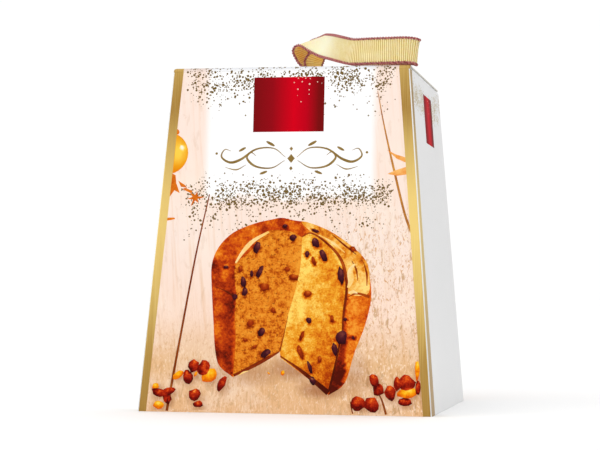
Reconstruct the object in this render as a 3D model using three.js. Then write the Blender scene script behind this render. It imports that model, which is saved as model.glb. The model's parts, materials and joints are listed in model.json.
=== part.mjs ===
// Gift carton for a tall dome loaf: a tapered square carton with a tuck lid creased off its
// front, a ribbon carrying loop through the lid, and the loaf in its paper mould and film bag.
// Millimetres, +Z up. The origin is the centre of the base, on the surface it stands on, and
// the printed front faces -Y.

import * as THREE from 'three';
import { mergeVertices } from 'three/addons/utils/BufferGeometryUtils.js';

// Driving dimensions of the carton.
const BASE_HALF = 90;
const TOP_HALF = 73.6;
const HEIGHT = 211;
const BOARD = 0.7;
const GAP = 0.3;
const LEAN = (BASE_HALF - TOP_HALF) / HEIGHT;
const QUARTER_TURN = Math.PI / 2;

// Heights of the lid's layers, from the top down.
const LID_UNDERSIDE = HEIGHT - BOARD;
const DUST_FLAP_TOP = LID_UNDERSIDE - GAP;
const DUST_FLAP_UNDERSIDE = DUST_FLAP_TOP - BOARD;
const SIDE_WALL_TOP = DUST_FLAP_UNDERSIDE - GAP;
const MAIN_WALL_TOP = LID_UNDERSIDE - 0.7;
const WALL_CORNER_RADIUS = 3;

// The lid and its flaps.
const LID_FRONT = TOP_HALF - 0.4;
const LID_CORNER_RADIUS = 2.2;
const TUCK_CLEARANCE = 0.8;
const TUCK_FACE = TOP_HALF - BOARD - TUCK_CLEARANCE;
const TUCK_LENGTH = 18;
const TUCK_HALF_WIDTH = 68;
const TUCK_CORNER_RADIUS = 8;
const DUST_FLAP_REACH = 34;
const DUST_FLAP_REAR = 67;
const MITRE_CLEARANCE = 2;

// The base's flaps, from the floor up.
const BASE_HALF_INSIDE = BASE_HALF - BOARD - GAP - 0.1;
const BASE_FLAP_UNDERSIDE = BOARD + GAP;
const BASE_TUCK_HEIGHT = 22;
const BASE_FLAP_REACH = 62;
const BASE_FLAP_HALF_WIDTH = 80;

// The glued seam inside the rear left corner.
const SEAM_WIDTH = 14;
const SEAM_LOW = 4;
const SEAM_HIGH = 204;

// The ribbon and the card that holds its tails under the lid.
const RIBBON_WIDTH = 17;
const RIBBON_THICKNESS = 0.6;
const RIBBON_STEPS_PER_SPAN = 3;
const LID_SLOT = { halfWidth: 1.7, halfLength: 9.6 };
const ANCHOR = { halfWidth: 15, halfLength: 12, slotHalfWidth: 2.6, cornerRadius: 2 };

// The loaf, its mould and its bag.
const ROUND_SEGMENTS = 48;
const MOULD_RADIUS = 72;
const MOULD_HEIGHT = 93;
const MOULD_WALL = 0.8;
const BAG_FLOOR = BASE_FLAP_UNDERSIDE + BOARD + GAP;
const FILM = 0.3;
const MOULD_FLOOR = BAG_FLOOR + FILM + GAP;
const MOULD_BASE = 0.6;
const LOAF_FLOOR = MOULD_FLOOR + MOULD_BASE + GAP;
const LOAF_RADIUS = MOULD_RADIUS - MOULD_WALL - 0.4;
const LOAF_CROWN = 142;
const NECK_RADIUS = 5;
const NECK_BORE = 2;

function finish(color, roughness, metalness = 0) {
  return new THREE.MeshStandardMaterial({ color, roughness, metalness });
}

const PRINTED_BOARD = finish(0xf4e6d4, 0.45);
const WHITE_BOARD = finish(0xececec, 0.6);
const GREY_BOARD = finish(0xc9c2b6, 0.85);
const RIBBON_CLOTH = finish(0xe6cf8a, 0.7);
const CRUST = finish(0xa4581f, 0.85);
const MOULD_PAPER = finish(0x6b3a1e, 0.8);
const FILM_CLEAR = finish(0xdfe6ea, 0.15);
const TIE_GOLD = finish(0xcfa23c, 0.35, 0.8);

function node(name, geometry, material) {
  const mesh = new THREE.Mesh(geometry, material);
  mesh.name = name;
  return mesh;
}

// A closed solid from a shape, with its shared corners merged.
function extruded(shape, depth) {
  const geometry = new THREE.ExtrudeGeometry(shape, { depth, bevelEnabled: false, curveSegments: 6 });
  geometry.deleteAttribute('normal');
  geometry.deleteAttribute('uv');
  return mergeVertices(geometry, 1e-4);
}

// A flat piece of board lying level, outlined from above.
function levelBoard(shape, underside) {
  return extruded(shape, BOARD).translate(0, 0, underside);
}

// A piece of board that leans with a carton wall. Its outline is drawn across and up, and its
// outer face lies the given inset inside the carton's outer face, on the side facing -Y.
function leaningBoard(shape, inset) {
  const across = new THREE.Vector3(1, 0, 0);
  const upTheWall = new THREE.Vector3(0, LEAN, 1);
  const outward = new THREE.Vector3(0, -1, 0);
  const lean = new THREE.Matrix4().makeBasis(across, upTheWall, outward);
  lean.setPosition(0, inset + BOARD - BASE_HALF, 0);
  return extruded(shape, BOARD).applyMatrix4(lean);
}

function halfWidthAt(height) {
  return BASE_HALF - LEAN * height;
}

// The trapezoid of a wall between two heights, trimmed back from the carton's corners.
function wallOutline(low, high, trim, cornerRadius) {
  const bottom = halfWidthAt(low) - trim;
  const top = halfWidthAt(high) - trim;
  const shape = new THREE.Shape();
  shape.moveTo(-bottom, low);
  shape.lineTo(bottom, low);
  if (cornerRadius > 0) {
    const shoulder = halfWidthAt(high - cornerRadius) - trim;
    shape.lineTo(shoulder, high - cornerRadius);
    shape.quadraticCurveTo(top, high, top - cornerRadius, high);
    shape.lineTo(cornerRadius - top, high);
    shape.quadraticCurveTo(-top, high, -shoulder, high - cornerRadius);
  } else {
    shape.lineTo(top, high);
    shape.lineTo(-top, high);
  }
  shape.closePath();
  return shape;
}

// A tuck flap's outline: straight at its crease, round at its free corners.
function tuckOutline(halfWidth, creaseHeight, freeHeight, radius) {
  const into = Math.sign(freeHeight - creaseHeight);
  const shape = new THREE.Shape();
  shape.moveTo(-halfWidth, creaseHeight);
  shape.lineTo(-halfWidth, freeHeight - into * radius);
  shape.quadraticCurveTo(-halfWidth, freeHeight, radius - halfWidth, freeHeight);
  shape.lineTo(halfWidth - radius, freeHeight);
  shape.quadraticCurveTo(halfWidth, freeHeight, halfWidth, freeHeight - into * radius);
  shape.lineTo(halfWidth, creaseHeight);
  shape.closePath();
  return shape;
}

function slotPath(halfWidth, halfLength) {
  const path = new THREE.Path();
  path.moveTo(-halfWidth, -halfLength);
  path.lineTo(-halfWidth, halfLength);
  path.lineTo(halfWidth, halfLength);
  path.lineTo(halfWidth, -halfLength);
  path.closePath();
  return path;
}

function buildWalls() {
  const trim = BOARD + GAP;
  const main = leaningBoard(wallOutline(0, MAIN_WALL_TOP, 0, WALL_CORNER_RADIUS), 0);
  const side = leaningBoard(wallOutline(0, SIDE_WALL_TOP, trim, 0), 0);
  return [
    node('front_wall', main.clone(), PRINTED_BOARD),
    node('right_wall', side.clone().rotateZ(QUARTER_TURN), WHITE_BOARD),
    node('back_wall', main.rotateZ(2 * QUARTER_TURN), PRINTED_BOARD),
    node('left_wall', side.rotateZ(-QUARTER_TURN), WHITE_BOARD),
  ];
}

// The seam flap is creased off the left wall and glued inside the back wall.
function buildSeam() {
  const edge = (height) => halfWidthAt(height) - BOARD - 2 * GAP;
  const shape = new THREE.Shape();
  shape.moveTo(edge(SEAM_LOW), SEAM_LOW);
  shape.lineTo(edge(SEAM_HIGH), SEAM_HIGH);
  shape.lineTo(edge(SEAM_HIGH) - SEAM_WIDTH, SEAM_HIGH - SEAM_WIDTH);
  shape.lineTo(edge(SEAM_LOW) - SEAM_WIDTH, SEAM_LOW + SEAM_WIDTH);
  shape.closePath();
  const seam = leaningBoard(shape, BOARD + GAP).rotateZ(2 * QUARTER_TURN);
  return node('seam_flap', seam, GREY_BOARD);
}

function buildBase() {
  const plate = new THREE.Shape();
  plate.moveTo(-BASE_HALF_INSIDE, -BASE_HALF_INSIDE);
  plate.lineTo(BASE_HALF_INSIDE, -BASE_HALF_INSIDE);
  plate.lineTo(BASE_HALF_INSIDE, BASE_HALF_INSIDE);
  plate.lineTo(-BASE_HALF_INSIDE, BASE_HALF_INSIDE);
  plate.closePath();
  const tuck = tuckOutline(BASE_FLAP_HALF_WIDTH, BASE_FLAP_UNDERSIDE, BASE_TUCK_HEIGHT, TUCK_CORNER_RADIUS);
  const crease = BASE_HALF_INSIDE - GAP;
  const flap = new THREE.Shape();
  flap.moveTo(crease, -BASE_FLAP_HALF_WIDTH);
  flap.lineTo(crease, BASE_FLAP_HALF_WIDTH);
  flap.lineTo(crease - BASE_FLAP_REACH, BASE_FLAP_HALF_WIDTH - 12);
  flap.lineTo(crease - BASE_FLAP_REACH, 12 - BASE_FLAP_HALF_WIDTH);
  flap.closePath();
  const right = levelBoard(flap, BASE_FLAP_UNDERSIDE);
  const left = right.clone().rotateZ(2 * QUARTER_TURN);
  return [
    node('base_panel', levelBoard(plate, 0), WHITE_BOARD),
    node('base_tuck_flap', leaningBoard(tuck, BOARD + GAP), GREY_BOARD),
    node('base_dust_flap_right', right, GREY_BOARD),
    node('base_dust_flap_left', left, GREY_BOARD),
  ];
}

// The lid is creased off the front wall and tucks in behind the back wall.
function buildLid() {
  const side = TOP_HALF;
  const radius = LID_CORNER_RADIUS;
  const panel = new THREE.Shape();
  panel.moveTo(-side, -LID_FRONT);
  panel.lineTo(side, -LID_FRONT);
  panel.lineTo(side, TUCK_FACE - radius);
  panel.quadraticCurveTo(side, TUCK_FACE, side - radius, TUCK_FACE);
  panel.lineTo(radius - side, TUCK_FACE);
  panel.quadraticCurveTo(-side, TUCK_FACE, -side, TUCK_FACE - radius);
  panel.closePath();
  panel.holes.push(slotPath(LID_SLOT.halfWidth, LID_SLOT.halfLength));
  const creaseHeight = DUST_FLAP_TOP - 0.1;
  const tuckShape = tuckOutline(TUCK_HALF_WIDTH, creaseHeight, creaseHeight - TUCK_LENGTH, TUCK_CORNER_RADIUS);
  const tuck = extruded(tuckShape, BOARD).rotateX(QUARTER_TURN).translate(0, TUCK_FACE, 0);
  return [
    node('lid_panel', levelBoard(panel, LID_UNDERSIDE), PRINTED_BOARD),
    node('lid_tuck_flap', tuck, WHITE_BOARD),
  ];
}

// The dust flaps lie under the lid. Their front edges are cut at 45 degrees, so that a flap
// rising about its side crease stays under a lid rising about its front crease.
function buildDustFlaps() {
  const crease = TOP_HALF - 0.4;
  const tip = crease - DUST_FLAP_REACH;
  const mitre = MITRE_CLEARANCE - TOP_HALF;
  const flap = new THREE.Shape();
  flap.moveTo(crease, mitre);
  flap.lineTo(crease, DUST_FLAP_REAR);
  flap.lineTo(tip + 8, DUST_FLAP_REAR - 2);
  flap.quadraticCurveTo(tip, DUST_FLAP_REAR - 2, tip, DUST_FLAP_REAR - 10);
  flap.lineTo(tip, mitre + DUST_FLAP_REACH);
  flap.closePath();
  const right = levelBoard(flap, DUST_FLAP_UNDERSIDE);
  const mirrored = new THREE.Shape(flap.getPoints(6).map((p) => new THREE.Vector2(-p.x, p.y)).reverse());
  const left = levelBoard(mirrored, DUST_FLAP_UNDERSIDE);
  return [
    node('lid_dust_flap_right', right, WHITE_BOARD),
    node('lid_dust_flap_left', left, WHITE_BOARD),
  ];
}

function buildAnchor() {
  const { halfWidth, halfLength, slotHalfWidth, cornerRadius } = ANCHOR;
  const card = new THREE.Shape();
  card.moveTo(halfWidth, cornerRadius - halfLength);
  card.lineTo(halfWidth, halfLength - cornerRadius);
  card.quadraticCurveTo(halfWidth, halfLength, halfWidth - cornerRadius, halfLength);
  card.lineTo(cornerRadius - halfWidth, halfLength);
  card.quadraticCurveTo(-halfWidth, halfLength, -halfWidth, halfLength - cornerRadius);
  card.lineTo(-halfWidth, cornerRadius - halfLength);
  card.quadraticCurveTo(-halfWidth, -halfLength, cornerRadius - halfWidth, -halfLength);
  card.lineTo(halfWidth - cornerRadius, -halfLength);
  card.quadraticCurveTo(halfWidth, -halfLength, halfWidth, cornerRadius - halfLength);
  card.holes.push(slotPath(slotHalfWidth, LID_SLOT.halfLength));
  return node('ribbon_anchor_card', levelBoard(card, DUST_FLAP_UNDERSIDE), GREY_BOARD);
}

// The ribbon's way: each row is a point on its centreline and the direction across its width,
// from its front edge to its rear edge. It starts glued flat under the anchor card, comes up
// through the slot, curls over to the left, runs forward and stands on its edge along the
// lid's front, turns back at the right corner and returns through the same slot.
const RIBBON_WAY = [
  [[-14, 0, 208.5], [0, 1, 0]],
  [[-8, 0, 208.5], [0, 1, 0]],
  [[-3.2, 0, 208.5], [0, 1, 0]],
  [[-1.3, 0, 209.3], [0, 1, 0]],
  [[-0.9, 0, 211], [0, 1, 0]],
  [[-1.3, 0, 213.5], [0.05, 1, 0]],
  [[-3, -0.5, 219], [0.22, 0.97, 0]],
  [[-5.6, -1.5, 224.6], [0.45, 0.88, 0]],
  [[-7.6, -3, 230.4], [0.45, 0.88, 0.05]],
  [[-5.2, -5, 234.4], [0.3, 0.93, 0.2]],
  [[-0.5, -8.5, 235], [0, 0.95, 0.38]],
  [[6, -15.5, 233.2], [0.05, 0.82, 0.75]],
  [[13, -26, 230], [0.12, 0.5, 0.95]],
  [[20, -40, 227], [0.1, 0.3, 1]],
  [[28, -55, 223.5], [0.03, 0.15, 1]],
  [[37, -66, 220.5], [0, 0.05, 1]],
  [[48, -71, 219.9], [0, 0, 1]],
  [[60, -72, 219.9], [0, 0, 1]],
  [[70, -72, 220], [0.03, 0, 1]],
  [[76, -70.5, 219.5], [0.08, 0.05, 1]],
  [[77.6, -67, 218.9], [0.08, 0.05, 1]],
  [[75.5, -63.5, 219.9], [0.06, 0.05, 1]],
  [[69, -60, 220.4], [0, 0, 1]],
  [[56, -54, 220.6], [0, 0, 1]],
  [[41, -42, 222], [0.05, 0.08, 1]],
  [[27, -28, 226], [0.1, 0.4, 0.85]],
  [[15, -12, 230], [0.25, 0.8, 0.5]],
  [[7, -3.5, 229.6], [0.5, 0.85, 0.2]],
  [[1.2, -0.6, 223.8], [0.66, 0.75, 0]],
  [[0.9, 0, 217.5], [0.4, 0.92, 0]],
  [[0.9, 0, 213.5], [0.1, 1, 0]],
  [[0.9, 0, 211], [0, 1, 0]],
  [[1.3, 0, 209.3], [0, 1, 0]],
  [[3.2, 0, 208.5], [0, 1, 0]],
  [[8, 0, 208.5], [0, 1, 0]],
  [[14, 0, 208.5], [0, 1, 0]],
];

// A strip of rectangular section along the way, its width kept square to its direction.
function buildRibbon() {
  const centreline = new THREE.CatmullRomCurve3(RIBBON_WAY.map(([point]) => new THREE.Vector3(...point)));
  const widthwise = new THREE.CatmullRomCurve3(RIBBON_WAY.map(([, across]) => new THREE.Vector3(...across)));
  const steps = (RIBBON_WAY.length - 1) * RIBBON_STEPS_PER_SPAN;
  const corners = [];
  for (let i = 0; i <= steps; i += 1) {
    const t = i / steps;
    const centre = centreline.getPoint(t);
    const along = centreline.getTangent(t);
    const across = widthwise.getPoint(t).projectOnPlane(along).setLength(RIBBON_WIDTH / 2);
    const through = along.clone().cross(across).setLength(RIBBON_THICKNESS / 2);
    for (const [widthSign, throughSign] of [[-1, -1], [1, -1], [1, 1], [-1, 1]]) {
      corners.push(centre.clone().addScaledVector(across, widthSign).addScaledVector(through, throughSign));
    }
  }
  // Both broad faces are cut along the same diagonal, so that they stay apart where it twists.
  const faces = [];
  for (let i = 0; i < steps; i += 1) {
    for (let k = 0; k < 4; k += 1) {
      const here = 4 * i + k;
      const beside = 4 * i + ((k + 1) % 4);
      if (k === 2) faces.push(here, beside, here + 4, beside, beside + 4, here + 4);
      else faces.push(here, beside, beside + 4, here, beside + 4, here + 4);
    }
  }
  const last = 4 * steps;
  faces.push(0, 2, 1, 0, 3, 2);
  faces.push(last, last + 1, last + 2, last, last + 2, last + 3);
  const geometry = new THREE.BufferGeometry().setFromPoints(corners);
  geometry.setIndex(faces);
  return node('ribbon_handle', geometry, RIBBON_CLOTH);
}

// A round solid from its profile, given as [radius, height] pairs.
function turned(profile) {
  const points = profile.map(([radius, height]) => new THREE.Vector2(radius, height));
  const geometry = new THREE.LatheGeometry(points, ROUND_SEGMENTS).rotateX(QUARTER_TURN);
  geometry.deleteAttribute('normal');
  geometry.deleteAttribute('uv');
  return mergeVertices(geometry, 1e-4);
}

// A straight-sided ring closes its profile on itself.
function ring(inner, outer, low, high) {
  return turned([[inner, low], [outer, low], [outer, high], [inner, high], [inner, low]]);
}

function buildMould() {
  const inner = MOULD_RADIUS - MOULD_WALL;
  const floorTop = MOULD_FLOOR + MOULD_BASE;
  const floorRadius = inner - GAP;
  return [
    node('paper_mould_wall', ring(inner, MOULD_RADIUS, MOULD_FLOOR, MOULD_FLOOR + MOULD_HEIGHT), MOULD_PAPER),
    node('paper_mould_base', turned([[0, MOULD_FLOOR], [floorRadius, MOULD_FLOOR], [floorRadius, floorTop], [0, floorTop]]),
      MOULD_PAPER),
  ];
}

// The crumb fills the mould and the crown rises over its rim.
function buildLoaf() {
  const rim = MOULD_FLOOR + MOULD_HEIGHT;
  const profile = [
    [0, LOAF_FLOOR],
    [LOAF_RADIUS - 4, LOAF_FLOOR],
    [LOAF_RADIUS, LOAF_FLOOR + 4],
    [LOAF_RADIUS, rim + 1],
    [LOAF_RADIUS + 2.4, rim + 7],
    [LOAF_RADIUS + 1.2, rim + 14],
    [LOAF_RADIUS - 5, rim + 24],
    [LOAF_RADIUS - 16, rim + 34],
    [LOAF_RADIUS - 34, rim + 42],
    [LOAF_RADIUS - 54, LOAF_CROWN - 1],
    [0, LOAF_CROWN],
  ];
  return node('panettone_loaf', turned(profile), CRUST);
}

// The film bag is one thin skin, open up the middle of its gathered neck.
function buildBag() {
  const outside = [
    [0, BAG_FLOOR],
    [73.2, BAG_FLOOR],
    [73.8, BAG_FLOOR + 6],
    [75.6, 96],
    [75.4, 110],
    [69, 128],
    [54, 143],
    [32, 153],
    [14, 159],
    [NECK_RADIUS, 165],
    [NECK_RADIUS, 172],
    [16, 180],
    [36, 192],
  ];
  const inside = [
    [36, 192.4],
    [15.6, 180.6],
    [NECK_BORE, 173],
    [NECK_BORE, 164],
    [14, 158.4],
    [32, 152.6],
    [53.8, 142.6],
    [68.7, 127.8],
    [75.1, 109.8],
    [75.3, 96],
    [73.5, BAG_FLOOR + 6],
    [72.9, BAG_FLOOR + FILM],
    [0, BAG_FLOOR + FILM],
  ];
  return node('film_bag', turned([...outside, ...inside]), FILM_CLEAR);
}

function buildTie() {
  return node('bag_tie', ring(NECK_RADIUS + GAP, NECK_RADIUS + 1.7, 167, 170), TIE_GOLD);
}

const carton = new THREE.Group();
carton.add(...buildWalls(), buildSeam(), ...buildBase());
carton.add(...buildLid(), ...buildDustFlaps());
carton.add(buildRibbon(), buildAnchor());
carton.add(...buildMould(), buildLoaf(), buildBag(), buildTie());

export default carton;
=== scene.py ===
"""Looks of a tapered gift carton for a tall dome loaf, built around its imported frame.

The carton is one creased and glued sheet of printed board with a lid, a ribbon carrying loop,
and inside it the loaf in its pleated paper mould and tied film bag. Lengths are in metres.
"""

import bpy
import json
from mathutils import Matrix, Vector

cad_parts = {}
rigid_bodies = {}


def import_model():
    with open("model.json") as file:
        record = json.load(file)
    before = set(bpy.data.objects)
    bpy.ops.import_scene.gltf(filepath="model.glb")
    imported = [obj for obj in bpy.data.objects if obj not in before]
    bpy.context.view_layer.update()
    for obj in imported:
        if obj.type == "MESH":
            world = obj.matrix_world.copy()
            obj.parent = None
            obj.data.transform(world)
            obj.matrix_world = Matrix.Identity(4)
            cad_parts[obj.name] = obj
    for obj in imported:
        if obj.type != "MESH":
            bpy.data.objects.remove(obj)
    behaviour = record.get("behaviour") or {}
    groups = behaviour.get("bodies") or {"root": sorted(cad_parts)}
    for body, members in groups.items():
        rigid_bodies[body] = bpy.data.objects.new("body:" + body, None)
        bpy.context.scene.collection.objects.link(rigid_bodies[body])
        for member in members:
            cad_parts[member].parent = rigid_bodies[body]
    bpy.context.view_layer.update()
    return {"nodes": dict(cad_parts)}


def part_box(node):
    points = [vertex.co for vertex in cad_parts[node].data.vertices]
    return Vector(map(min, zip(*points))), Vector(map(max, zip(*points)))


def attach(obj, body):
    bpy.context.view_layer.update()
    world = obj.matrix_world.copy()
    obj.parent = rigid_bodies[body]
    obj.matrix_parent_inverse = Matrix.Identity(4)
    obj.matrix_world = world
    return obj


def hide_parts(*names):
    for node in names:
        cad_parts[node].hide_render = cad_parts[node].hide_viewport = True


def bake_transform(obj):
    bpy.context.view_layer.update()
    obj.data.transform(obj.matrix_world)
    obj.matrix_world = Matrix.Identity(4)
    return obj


bl_info = {
    "name": "Panettone Gift Carton",
    "version": (1, 0, 0),
    "blender": (4, 5, 0),
    "location": "View3D > Sidebar > Carton",
    "description": "Builds the printed carton, its ribbon handle and the loaf inside around the packed frame",
    "category": "Add Mesh",
}

import json
import math
import random

import bmesh
import bpy
from bpy.props import FloatProperty, FloatVectorProperty, PointerProperty
from mathutils import Matrix, Vector, noise
from mathutils.geometry import delaunay_2d_cdt

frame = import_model()

MM = 0.001
QUARTER = math.pi / 2
TURN = 2 * math.pi

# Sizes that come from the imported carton.
BASE_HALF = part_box("front_wall")[1].x
TOP_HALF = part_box("lid_panel")[1].x
LID_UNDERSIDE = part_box("lid_panel")[0].z
LID_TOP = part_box("lid_panel")[1].z
BOARD = LID_TOP - LID_UNDERSIDE
LEAN = (BASE_HALF - TOP_HALF) / LID_TOP
TUCK_LOW, TUCK_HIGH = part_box("lid_tuck_flap")
MOULD_LOW, MOULD_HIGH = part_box("paper_mould_wall")
LOAF_LOW, LOAF_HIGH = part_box("panettone_loaf")
BAG_LOW, BAG_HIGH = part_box("film_bag")
TIE_LOW, TIE_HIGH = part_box("bag_tie")

# Where the walls end and the rolled creases begin.
FLOOR_CLEARANCE = 0.06 * MM
FRONT_TOP = 208.4 * MM
BACK_TOP = 209.4 * MM
REAR_SHOULDER = 208.5 * MM
SIDE_TOP = 208.6 * MM
FRONT_ROLL = LID_TOP - FRONT_TOP
REAR_ROLL = 1.6 * MM
SIDE_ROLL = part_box("lid_dust_flap_right")[1].z - SIDE_TOP
FOLD_STEPS = 6

# The film lies close to the mould below the first height, and is gathered above the second.
FILM_CLOSE_TO = 100 * MM
GATHERS_FROM = 128 * MM

# The tone and shade where nothing is pictured.
PLAIN_TONE = (0.5, 0.0)

# The second strand of a braid is mapped this far from the first, to tell them apart.
SECOND_STRAND = 20 * MM

# How a cut edge is softened, and how far up the print map plain board starts.
SOFT_EDGE = {"width": 0.12 * MM, "segments": 2, "limit_method": "ANGLE", "angle_limit": math.radians(50)}
PLAIN_PRINT = 0.05

# In millimetres: extra corners of the print stay this far inside a wall's edges and below its top.
GUIDE_MARGIN = 6.6
GUIDE_TOP_MARGIN = 1

# In millimetres: a wall this high has its gold strips cut back at their top corners, by this much.
REAR_CORNER_FROM = 209
REAR_CORNER_CUT = 1.5


def between(value):
    """The value, kept between 0 and 1."""
    return min(1.0, max(0.0, value))


def tint(red, green, blue):
    """A colour given as display values from 0 to 255, as linear light."""
    return tuple(
        ((c / 255 + 0.055) / 1.055) ** 2.4 if c > 10 else c / 255 / 12.92 for c in (red, green, blue)
    ) + (1.0,)


def colour(name, description, *display):
    return FloatVectorProperty(name=name, description=description, subtype="COLOR", size=4, min=0, max=1,
                               default=tint(*display))


def length_property(name, description, default):
    return FloatProperty(name=name, description=description, unit="LENGTH", default=default, min=0)


class CartonSizes(bpy.types.PropertyGroup):
    """Sizes of the folded board that are finer than the frame."""

    fold_radius: length_property("Fold radius", "Outer radius of the upright folds", 1.3 * MM)
    strip_at_base: length_property("Strip at base", "Width of the gold strip at the foot", 5.4 * MM)
    strip_at_top: length_property("Strip at top", "Width of the gold strip at the lid", 6.6 * MM)
    side_strip: length_property("Side strip", "Width at the top of the gold strip on the sides", 7.8 * MM)
    side_strip_at_base: length_property("Side strip at base", "Its width at the foot", 15.0 * MM)
    lid_corner: length_property("Lid corner", "Radius of the lid's corners in plan", 2.6 * MM)


class PrintColours(bpy.types.PropertyGroup):
    """Inks, foil and board."""

    plank_high: colour("Planks, high", "Printed planks near the lid", 253, 232, 220)
    plank_low: colour("Planks, low", "Printed planks near the foot", 236, 190, 142)
    glow: colour("Glow", "White field behind the label", 255, 255, 255)
    # The foil has one gold: these two are its lit and shaded tones, a painted reflection.
    gold_lit: colour("Gold, light", "Foil where it shines", 243, 210, 122)
    gold_shaded: colour("Gold, deep", "Foil where it is deep", 156, 112, 36)
    sparkle_ink: colour("Sparkles", "Bronze ink of the sparkles", 112, 88, 40)
    label_red: colour("Label", "Bright middle of the label", 212, 0, 26)
    label_dark: colour("Label edges", "Dark ends of the label", 118, 14, 16)
    side_white: colour("Side", "Plain sides and lid", 246, 246, 246)
    inside_grey: colour("Inside", "Uncoated inner face of the board", 222, 219, 212)
    raw_edge: colour("Cut edge", "Fibres at the board's cut edges", 224, 218, 206)


class RibbonLook(bpy.types.PropertyGroup):
    """The carrying ribbon."""

    width: length_property("Width", "Ribbon width over its braids", 17 * MM)
    thickness: length_property("Thickness", "Thickness of the woven ground", 0.45 * MM)
    braid: length_property("Braid", "Diameter of each edge braid", 2.0 * MM)
    # The ground is one thread colour: the lit one is it on the ribs, and the deep one is a painted shade
    # between them.
    lit: colour("Ground", "Threads on top of the weave", 246, 230, 172)
    deep: colour("Ground, deep", "Threads between the ribs", 198, 160, 80)
    maroon: colour("Braid colour", "Edge braids", 140, 44, 50)
    # The pink is the braids' lighter thread and also their painted highlight on the ply crests.
    pink: colour("Braid, light", "Light threads of the braids", 214, 134, 128)


class FoodLook(bpy.types.PropertyGroup):
    """The loaf, its mould and its bag."""

    crust: colour("Crust", "Middle tone of the baked crust", 168, 92, 38)
    crust_dark: colour("Crust, dark", "Crown and scored edges", 92, 42, 18)
    crust_light: colour("Crust, light", "Torn crumb in the score", 226, 170, 92)
    mould: colour("Mould", "Greaseproof paper of the mould", 112, 62, 34)
    mould_gold: colour("Mould pattern", "Gold bands printed on the mould", 206, 164, 84)
    tie: colour("Tie", "Metallic closing tie", 212, 168, 70)


class StageLook(bpy.types.PropertyGroup):
    """Floor, light and camera."""

    floor: colour("Floor", "Pale floor and backdrop", 250, 250, 250)
    sky: FloatProperty(name="Sky", description="Strength of the even light", default=0.53, min=0)
    key: FloatProperty(name="Key", description="Strength of the front light", default=1.15, min=0)
    top: FloatProperty(name="Top", description="Strength of the overhead light", default=1.15, min=0)
    azimuth: FloatProperty(name="Azimuth", description="Camera's turn to the right", unit="ROTATION",
                           default=math.radians(11.043))
    elevation: FloatProperty(name="Elevation", description="Camera's height as an angle", unit="ROTATION",
                             default=math.radians(-2.231))
    roll: FloatProperty(name="Roll", description="Camera's tilt", unit="ROTATION",
                        default=math.radians(0.399))
    distance: length_property("Distance", "From the camera to its target", 1.198)
    lens: FloatProperty(name="Lens", description="Focal length in millimetres", default=110.64, min=1)
    target: FloatVectorProperty(name="Target", description="Point looked at", subtype="TRANSLATION",
                                size=3, default=(-0.00762, 0, 0.1168))


# ---- Shader helpers ----


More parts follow.
